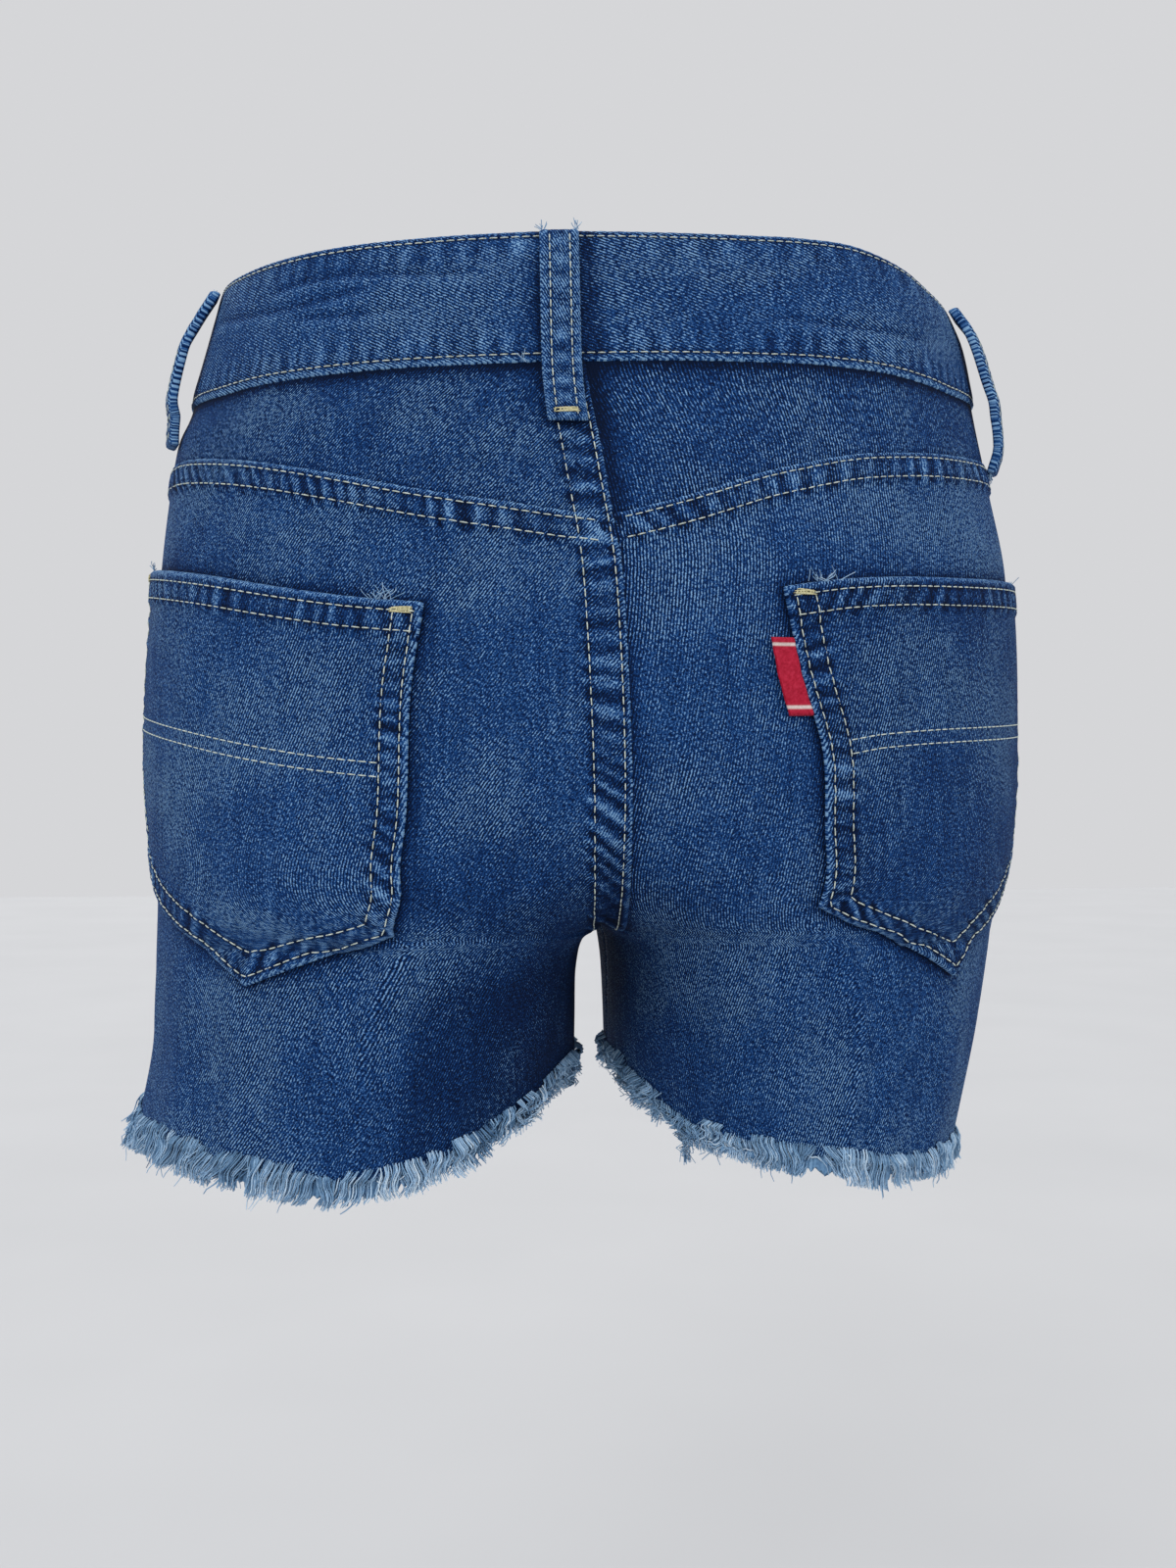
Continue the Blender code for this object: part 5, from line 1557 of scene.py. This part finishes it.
def hem_frame(side, u, drop=0.0):
    """Points on the cut edge with directions down, along and outward."""
    t = side * u
    at = point(t, V_HEM, 0.0)
    down = at - point(t, V_HEM - 0.15, 0.0)
    down /= np.linalg.norm(down, axis=-1, keepdims=True)
    out = point(t, V_HEM, MM) - at
    out /= np.linalg.norm(out, axis=-1, keepdims=True)
    return at + down * np.asarray(drop)[..., None], down, np.cross(out, down), out


def make_fringe(side):
    draw = np.random.default_rng(41 + side)
    u = np.sort(draw.uniform(2 * INSEAM_U, 1 - 2 * INSEAM_U, FRINGE_COUNT))
    turn = (1 - 2 * u) * 180.0
    locks = int(girth(V_HEM) / LOCK)
    bounds = np.cumsum(draw.uniform(0.35, 1.65, locks))
    which = np.searchsorted(bounds / bounds[-1], u - draw.normal(0, 0.0008, len(u)))
    which = np.clip(which, 0, locks - 1)
    inner_leg = ease((np.abs(turn) - 105) / 45)
    outside = draw.uniform(0, 1, len(u)) < 0.45         # these start higher, on the face
    step_up = draw.uniform(0.3, 4.6, locks)[which] + draw.normal(0, 0.35, len(u))
    step_up = step_up + 1.2 * inner_leg
    root = np.where(outside, np.clip(step_up, 0.2, 5.0), draw.uniform(0.2, 2.0, len(u)))
    at, down, along, out = hem_frame(side, u, -root * MM)
    depth = np.where(outside, 0.25, draw.uniform(-1.1, 0.1, len(u))) * CLOTH
    at = at + out * depth[:, None]
    trim = draw.uniform(0.86, 1.04, locks)[which] * draw.triangular(0.72, 0.98, 1.04, len(u))
    trim = np.where(draw.uniform(0, 1, len(u)) < 0.012, 1.3, trim)      # a few stray ends
    trim = np.where((np.abs(u - 0.099) < 0.0022) & (side == RIGHT), 2.0, trim)   # a hanging tuft
    length = (0.9 * fringe_length[side](turn) * trim + root) * MM
    flare = 0.24 + draw.normal(0, 0.07, locks)[which] + draw.normal(0, 0.05, len(u))
    flare = flare * (1 - 0.75 * inner_leg)
    lean = draw.normal(0.14, 0.26, locks)[which] + draw.normal(0, 0.06, len(u))
    way = down + out * flare[:, None] + along * (lean * -side)[:, None]
    way /= np.linalg.norm(way, axis=1, keepdims=True)
    curl = (draw.uniform(0.5, 1.3, locks)[which] + draw.normal(0, 0.08, len(u))) * MM
    curl = curl * (1 + 0.9 * inner_leg)
    phase = draw.uniform(0, 6.28, locks)[which]
    crimp = (1 - 0.6 * inner_leg) * CRIMP
    paths = curly(draw, at, way, along, out, length, curl, FRINGE_STEPS, phase, crimp)
    share = np.linspace(0, 1, FRINGE_STEPS)
    over = MM * np.sin(math.pi * np.clip(2.4 * share, 0, 1)) * outside[:, None]
    over = over * (0.8 + 1.2 * inner_leg[:, None])
    paths = paths + out[:, None] * over[..., None]
    radii = YARN_RADIUS * draw.uniform(0.75, 1.2, (len(u), 1)) * (1 - 0.4 * share[None, :] ** 3)
    verts, faces = tubes(paths, radii)
    tone = draw.normal(0.46, 0.09, locks)[which][:, None] + draw.normal(0, 0.17, (len(u), 1))
    tone = tone + 0.22 * share[None, :] - 0.04
    tone = np.repeat(np.clip(tone, 0, 1)[:, :, None], 3, axis=2).ravel()
    parts, tones = [(verts, faces)], [tone]

    # A few weft threads still run along the cut, waving in and out of the fringe.
    for k in range(24):
        start = draw.uniform(0.01, 0.95)
        span = draw.uniform(0.02, 0.05)
        run = np.linspace(start, min(start + span, 0.995), 26)
        drop = draw.uniform(-0.6, 3.2) + 0.6 * np.sin(run * 300 + k) + 0.4 * np.sin(run * 733 + k)
        at, down, along, out = hem_frame(side, run, drop * MM)
        flare = 0.22 * np.clip(drop, 0, None)
        lift = (0.35 + 0.35 * np.sin(run * 520 + 2 * k) + flare) * MM
        path = (at + out * lift[:, None])[None]
        verts, faces = tubes(path, np.full((1, 26), YARN_RADIUS * 0.9))
        parts.append((verts, faces))
        tones.append(np.full(len(verts), draw.uniform(0.6, 1.0)))
    verts, faces = merge(parts)
    obj = make_mesh(f"yarns_{NAMES[side]}", verts, faces, ["fringe"], tone=np.concatenate(tones),
                    slot="fringe")
    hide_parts(f"fringe_{NAMES[side]}")
    return obj


def make_roots(side):
    """A thick ragged strip among the yarns, so that the fringe isn't seen through."""
    rows, cols = 2 * STRIDE + 1, 300 * STRIDE + 1
    u = np.linspace(2 * INSEAM_U, 1 - 2 * INSEAM_U, cols)
    along_mm = arc(u, V_HEM)
    strand = wave_noise(along_mm, 3.3 + side, 1.2)
    ragged = (0.50 + 0.10 * wave_noise(along_mm, 5.5 + side, 2.4)
              + 0.09 * wave_noise(along_mm, 6.5, 7.0))
    long = fringe_length[side]((1 - 2 * u) * 180.0) * ragged
    share = np.linspace(0, 1, rows)[:, None]
    drop = -1.2 + (long + 1.2) * share
    at, down, _, out = hem_frame(side, u)
    rise = 0.24 * np.clip(drop, 0, None) - 0.7 + 0.4 * strand * ease(share / 0.3)
    outer = at + down * drop[..., None] * MM + out * rise[..., None] * MM
    inner = outer - out * 0.7 * MM
    # The strip stands for the packed yarns; its colour is darker than theirs as painted shade among
    # them.
    tone = 0.26 + 0.20 * strand + 0.10 * wave_noise(along_mm, 8.2 + side, 4.4) + 0 * drop
    uv = np.stack([along_mm * MM + 0 * drop, -drop * MM], -1)
    if side == RIGHT:
        outer, inner, uv, tone = (g[:, ::-1] for g in (outer, inner, uv, tone))
    return shell(f"matted_{NAMES[side]}", outer, inner, uv, tone, ("fringe", "fringe"), "fringe",
                 inside_tone=1.0)


def make_tufts():
    """Frayed thread ends at the pockets' corners, the belt loops and the band."""
    draw = np.random.default_rng(5)
    parts, tones = [], []

    def tuft(at, way, along, out, count, length, curl=0.8, size=0.8, spread_out=0.5, pale=0.55):
        ways = way + along * draw.normal(0, spread_out, (count, 1))
        ways = ways + out * draw.uniform(0, 0.8, (count, 1))
        ways /= np.linalg.norm(ways, axis=1, keepdims=True)
        roots = at + along * draw.normal(0, size, (count, 1)) * MM
        ones = np.ones((count, 1))
        paths = curly(draw, roots, ways, along * ones, out * ones,
                      length * MM * draw.uniform(0.5, 1.0, count), curl * MM, 12)
        verts, faces = tubes(paths, np.full((count, 12), 0.15 * MM), 3)
        parts.append((verts, faces))
        tones.append(np.repeat(draw.uniform(pale - 0.2, pale + 0.3, count), 36))

    for side in (LEFT, RIGHT):
        for a, count, long in ((0.09, 16, 5.5), (0.98, 10, 4.0)):
            _, _, u, v = pocket_point(side, [0.0, a, 1.0], [0.0, 0.5, 1.0])
            at, along, down, out = frame_at(side * u[0, 1], v[0, 1], POCKET_LIFT + POCKET_CLOTH)
            tuft(at, -down, along, out, count, long, size=2.2, spread_out=1.1)
    for name, share, spots, count in (("belt_loop_back", 0.0, (-5.6, 5.6), 8),
                                      ("belt_loop_side_left", 0.0, (0.0,), 7),
                                      ("belt_loop_side_right", 1.0, (-3.0, 4.0), 9)):
        near = abs(share - 0.02)
        centre, across, out = loop_frame(name, np.array([min(share, near), max(share, near)]))
        pick = 0 if share == 0.0 else 1
        way = unit(centre[0] - centre[1]) * (1 if share == 0.0 else -1)
        for x in spots:
            tuft(centre[pick] + across[pick] * x * MM + out[pick] * MM, way, across[pick],
                 out[pick], count, 3.2, 0.6, 0.5, 0.9)
    at, along, down, out = frame_at(0.030, 1.02, BAND_PROUD + MM)
    tuft(at, -down, along, out, 4, 6.0, 0.7, 0.5)
    verts, faces = merge(parts)
    return make_mesh("frayed_ends", verts, faces, ["fringe"], tone=np.concatenate(tones),
                     slot="fringe")


def make_tab():
    rows, cols = steps(0, 27, 0.6), steps(0, 9, 0.6)
    b = np.linspace(*TAB_SPAN, rows)[:, None]
    x = np.linspace(0, 1, cols)[None, :]
    edge_u = smooth_curve(POCKET_INNER[RIGHT], 1)(b)
    edge_v = smooth_curve(POCKET_INNER[RIGHT], 2)(b)
    reach = TAB_REACH_U[0] + 0.0016 * (b - b.mean()) / (b[-1] - b[0])
    u = edge_u - (reach + (TAB_REACH_U[1] - reach) * x)
    v = edge_v + 0 * u
    off_end = 27.0 * np.minimum(b - TAB_SPAN[0], TAB_SPAN[1] - b) / (TAB_SPAN[1] - TAB_SPAN[0])
    lift = LAID_ON + TAB_CLOTH + (0.9 * (1 - x) ** 2 + 0.15 * np.sin(9 * b / 0.1)) * MM
    lift = lift + rolled(off_end, 0.8, 0.4)
    stripe = np.exp(-(((off_end - 2.6) / 0.55) ** 4)) + 0 * x
    t = -u
    outer, inner = point(t, v, lift), point(t, v, lift - TAB_CLOTH)
    uv = np.stack([9 * MM * x + 0 * b,
                   -27 * MM * (b - TAB_SPAN[0]) / (TAB_SPAN[1] - TAB_SPAN[0]) + 0 * x], -1)
    flip = (slice(None), slice(None, None, -1 if t[0, 0] > t[0, -1] else None))
    obj = shell("woven_tab", outer[flip], inner[flip], uv[flip], stripe[flip], mats=("tab", "tab"),
                slot="tab")
    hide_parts("pocket_tab")
    declare(obj, point(t, v))
    return obj


def make_fly():
    """The zip's tape with its teeth, and the shield behind it."""
    for name, low, high, foot, depth, cloth, mat, slot in (
            ("fly_zip", -0.03, 0.03, 3.7, TAPE_DEPTH, TAPE_CLOTH, "zip_tape", "zip_tape"),
            ("fly_shield", -0.05, 0.035, 3.82, SHIELD_DEPTH, CLOTH, "denim", "denim")):
        rows, cols = steps(0, 90, 2.0), steps(0, 36, 2.0)
        v = np.linspace(V_BAND + 0.03, foot, rows)[:, None]
        t = 1 + np.linspace(low, high, cols)[None, :]
        outer, inner = point(t, v, -depth), point(t, v, -depth - cloth)
        obj = shell(f"shell_{name}", outer, inner, cloth_uv(t + 0 * v, v + 0 * t),
                    0 * (t + v) - 0.3,
                    mats=(mat, mat), slot=slot)
        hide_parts(name)
        declare(obj, inner)
    v = v_at(down_mm(V_BAND + 0.08) + np.arange(0, 84, 1.6))
    at = point(np.full_like(v, 1.0), v, -TAPE_DEPTH + 0.5 * MM)
    out = point(np.full_like(v, 1.0), v, -TAPE_DEPTH + 1.5 * MM) - at
    out /= np.linalg.norm(out, axis=1, keepdims=True)
    across = np.array([[1.0, 0.0, 0.0]])
    teeth = beads(at - across * 2.2 * MM, at + across * 2.2 * MM, out, 0.55 * MM, 5)
    obj = make_mesh("zip_teeth", *teeth, ["metal"], slot="metal")
    return obj


# ---- building it ----
make_band()
fringes = {side: make_fringe(side) for side in (LEFT, RIGHT)}
roots = {side: make_roots(side) for side in (LEFT, RIGHT)}
for side in (LEFT, RIGHT):
    make_yoke(side)
    declare(*make_back_panel(side), fringes[side], sew_back(side))
    declare(*make_front_panel(side))
    make_facing(side)
    make_pocket(side)
    sew_pocket(side)
    sew_front(side)
sew_band()
for loop_name, *_ in LOOPS:
    make_belt_loop(loop_name)
    sew_loop(loop_name)
make_bartacks()
make_tufts()
make_tab()
make_fly()
for node in ("zip_slider", "waist_button"):
    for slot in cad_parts[node].material_slots:
        slot.material = MATERIALS["metal"]


# ---- camera, floor and light ----
CAMERA_TURN = math.radians(7.5)          # the camera stands this far round from the +Y axis
CAMERA_AWAY = 0.64
CAMERA_Z = -0.184
IMAGE_PIXELS = 1600.0                    # height of the image
FOCAL_PIXELS = 1700.0
SENSOR_MM = 36.0
FLOOR_Z = -0.75
FLOOR_HALF = 8                           # half the floor's width
LIT_MIDDLE = (0, 0, -0.17)               # where the lights point

camera_data = bpy.data.cameras.new("camera")
camera_data.sensor_width = SENSOR_MM
camera_data.lens = FOCAL_PIXELS * SENSOR_MM / IMAGE_PIXELS
camera_data.clip_start = 0.01
camera = bpy.data.objects.new("camera", camera_data)
bpy.context.scene.collection.objects.link(camera)
camera.location = (CAMERA_AWAY * math.sin(CAMERA_TURN), CAMERA_AWAY * math.cos(CAMERA_TURN),
                   CAMERA_Z)
camera.rotation_euler = (math.pi / 2, 0, math.pi - CAMERA_TURN)
bpy.context.scene.camera = camera

floor_mesh = bpy.data.meshes.new("floor")
corners = [(FLOOR_HALF * x, FLOOR_HALF * y, FLOOR_Z)
           for x, y in ((-1, -1), (1, -1), (1, 1), (-1, 1))]
floor_mesh.from_pydata(corners, [], [(0, 1, 2, 3)])
floor_mesh.materials.append(MATERIALS["floor"])
floor = bpy.data.objects.new("floor", floor_mesh)
bpy.context.scene.collection.objects.link(floor)

LIGHTS = (
    # name, the side that it stands on, width in degrees, strength
    ("key", (0.9, 1.6, 1.1), 34.0, 1.0),
    ("fill", (-1.5, 1.1, 0.3), 50.0, 0.45),
    ("front", (0.4, -1.9, 0.9), 50.0, 0.8),
    ("top", (0.0, 0.1, 1.7), 60.0, 0.7),
)


def aim(obj, target):
    way = np.array(target) - np.array(obj.location)
    flat = math.hypot(way[0], way[1])
    obj.rotation_euler = (math.atan2(flat, -way[2]), 0, math.atan2(-way[0], way[1]))


for name, place, wide, strength in LIGHTS:
    data = bpy.data.lights.new(name, "SUN")
    data.angle = math.radians(wide)
    data.energy = strength
    light = bpy.data.objects.new(name, data)
    light.location = place
    aim(light, LIT_MIDDLE)
    bpy.context.scene.collection.objects.link(light)

world = bpy.data.worlds.new("studio")
world.use_nodes = True
world.node_tree.nodes["Background"].inputs["Color"].default_value = (0.785, 0.79, 0.81, 1)
world.node_tree.nodes["Background"].inputs["Strength"].default_value = 0.85
bpy.context.scene.world = world
bpy.context.scene.view_settings.view_transform = "Standard"
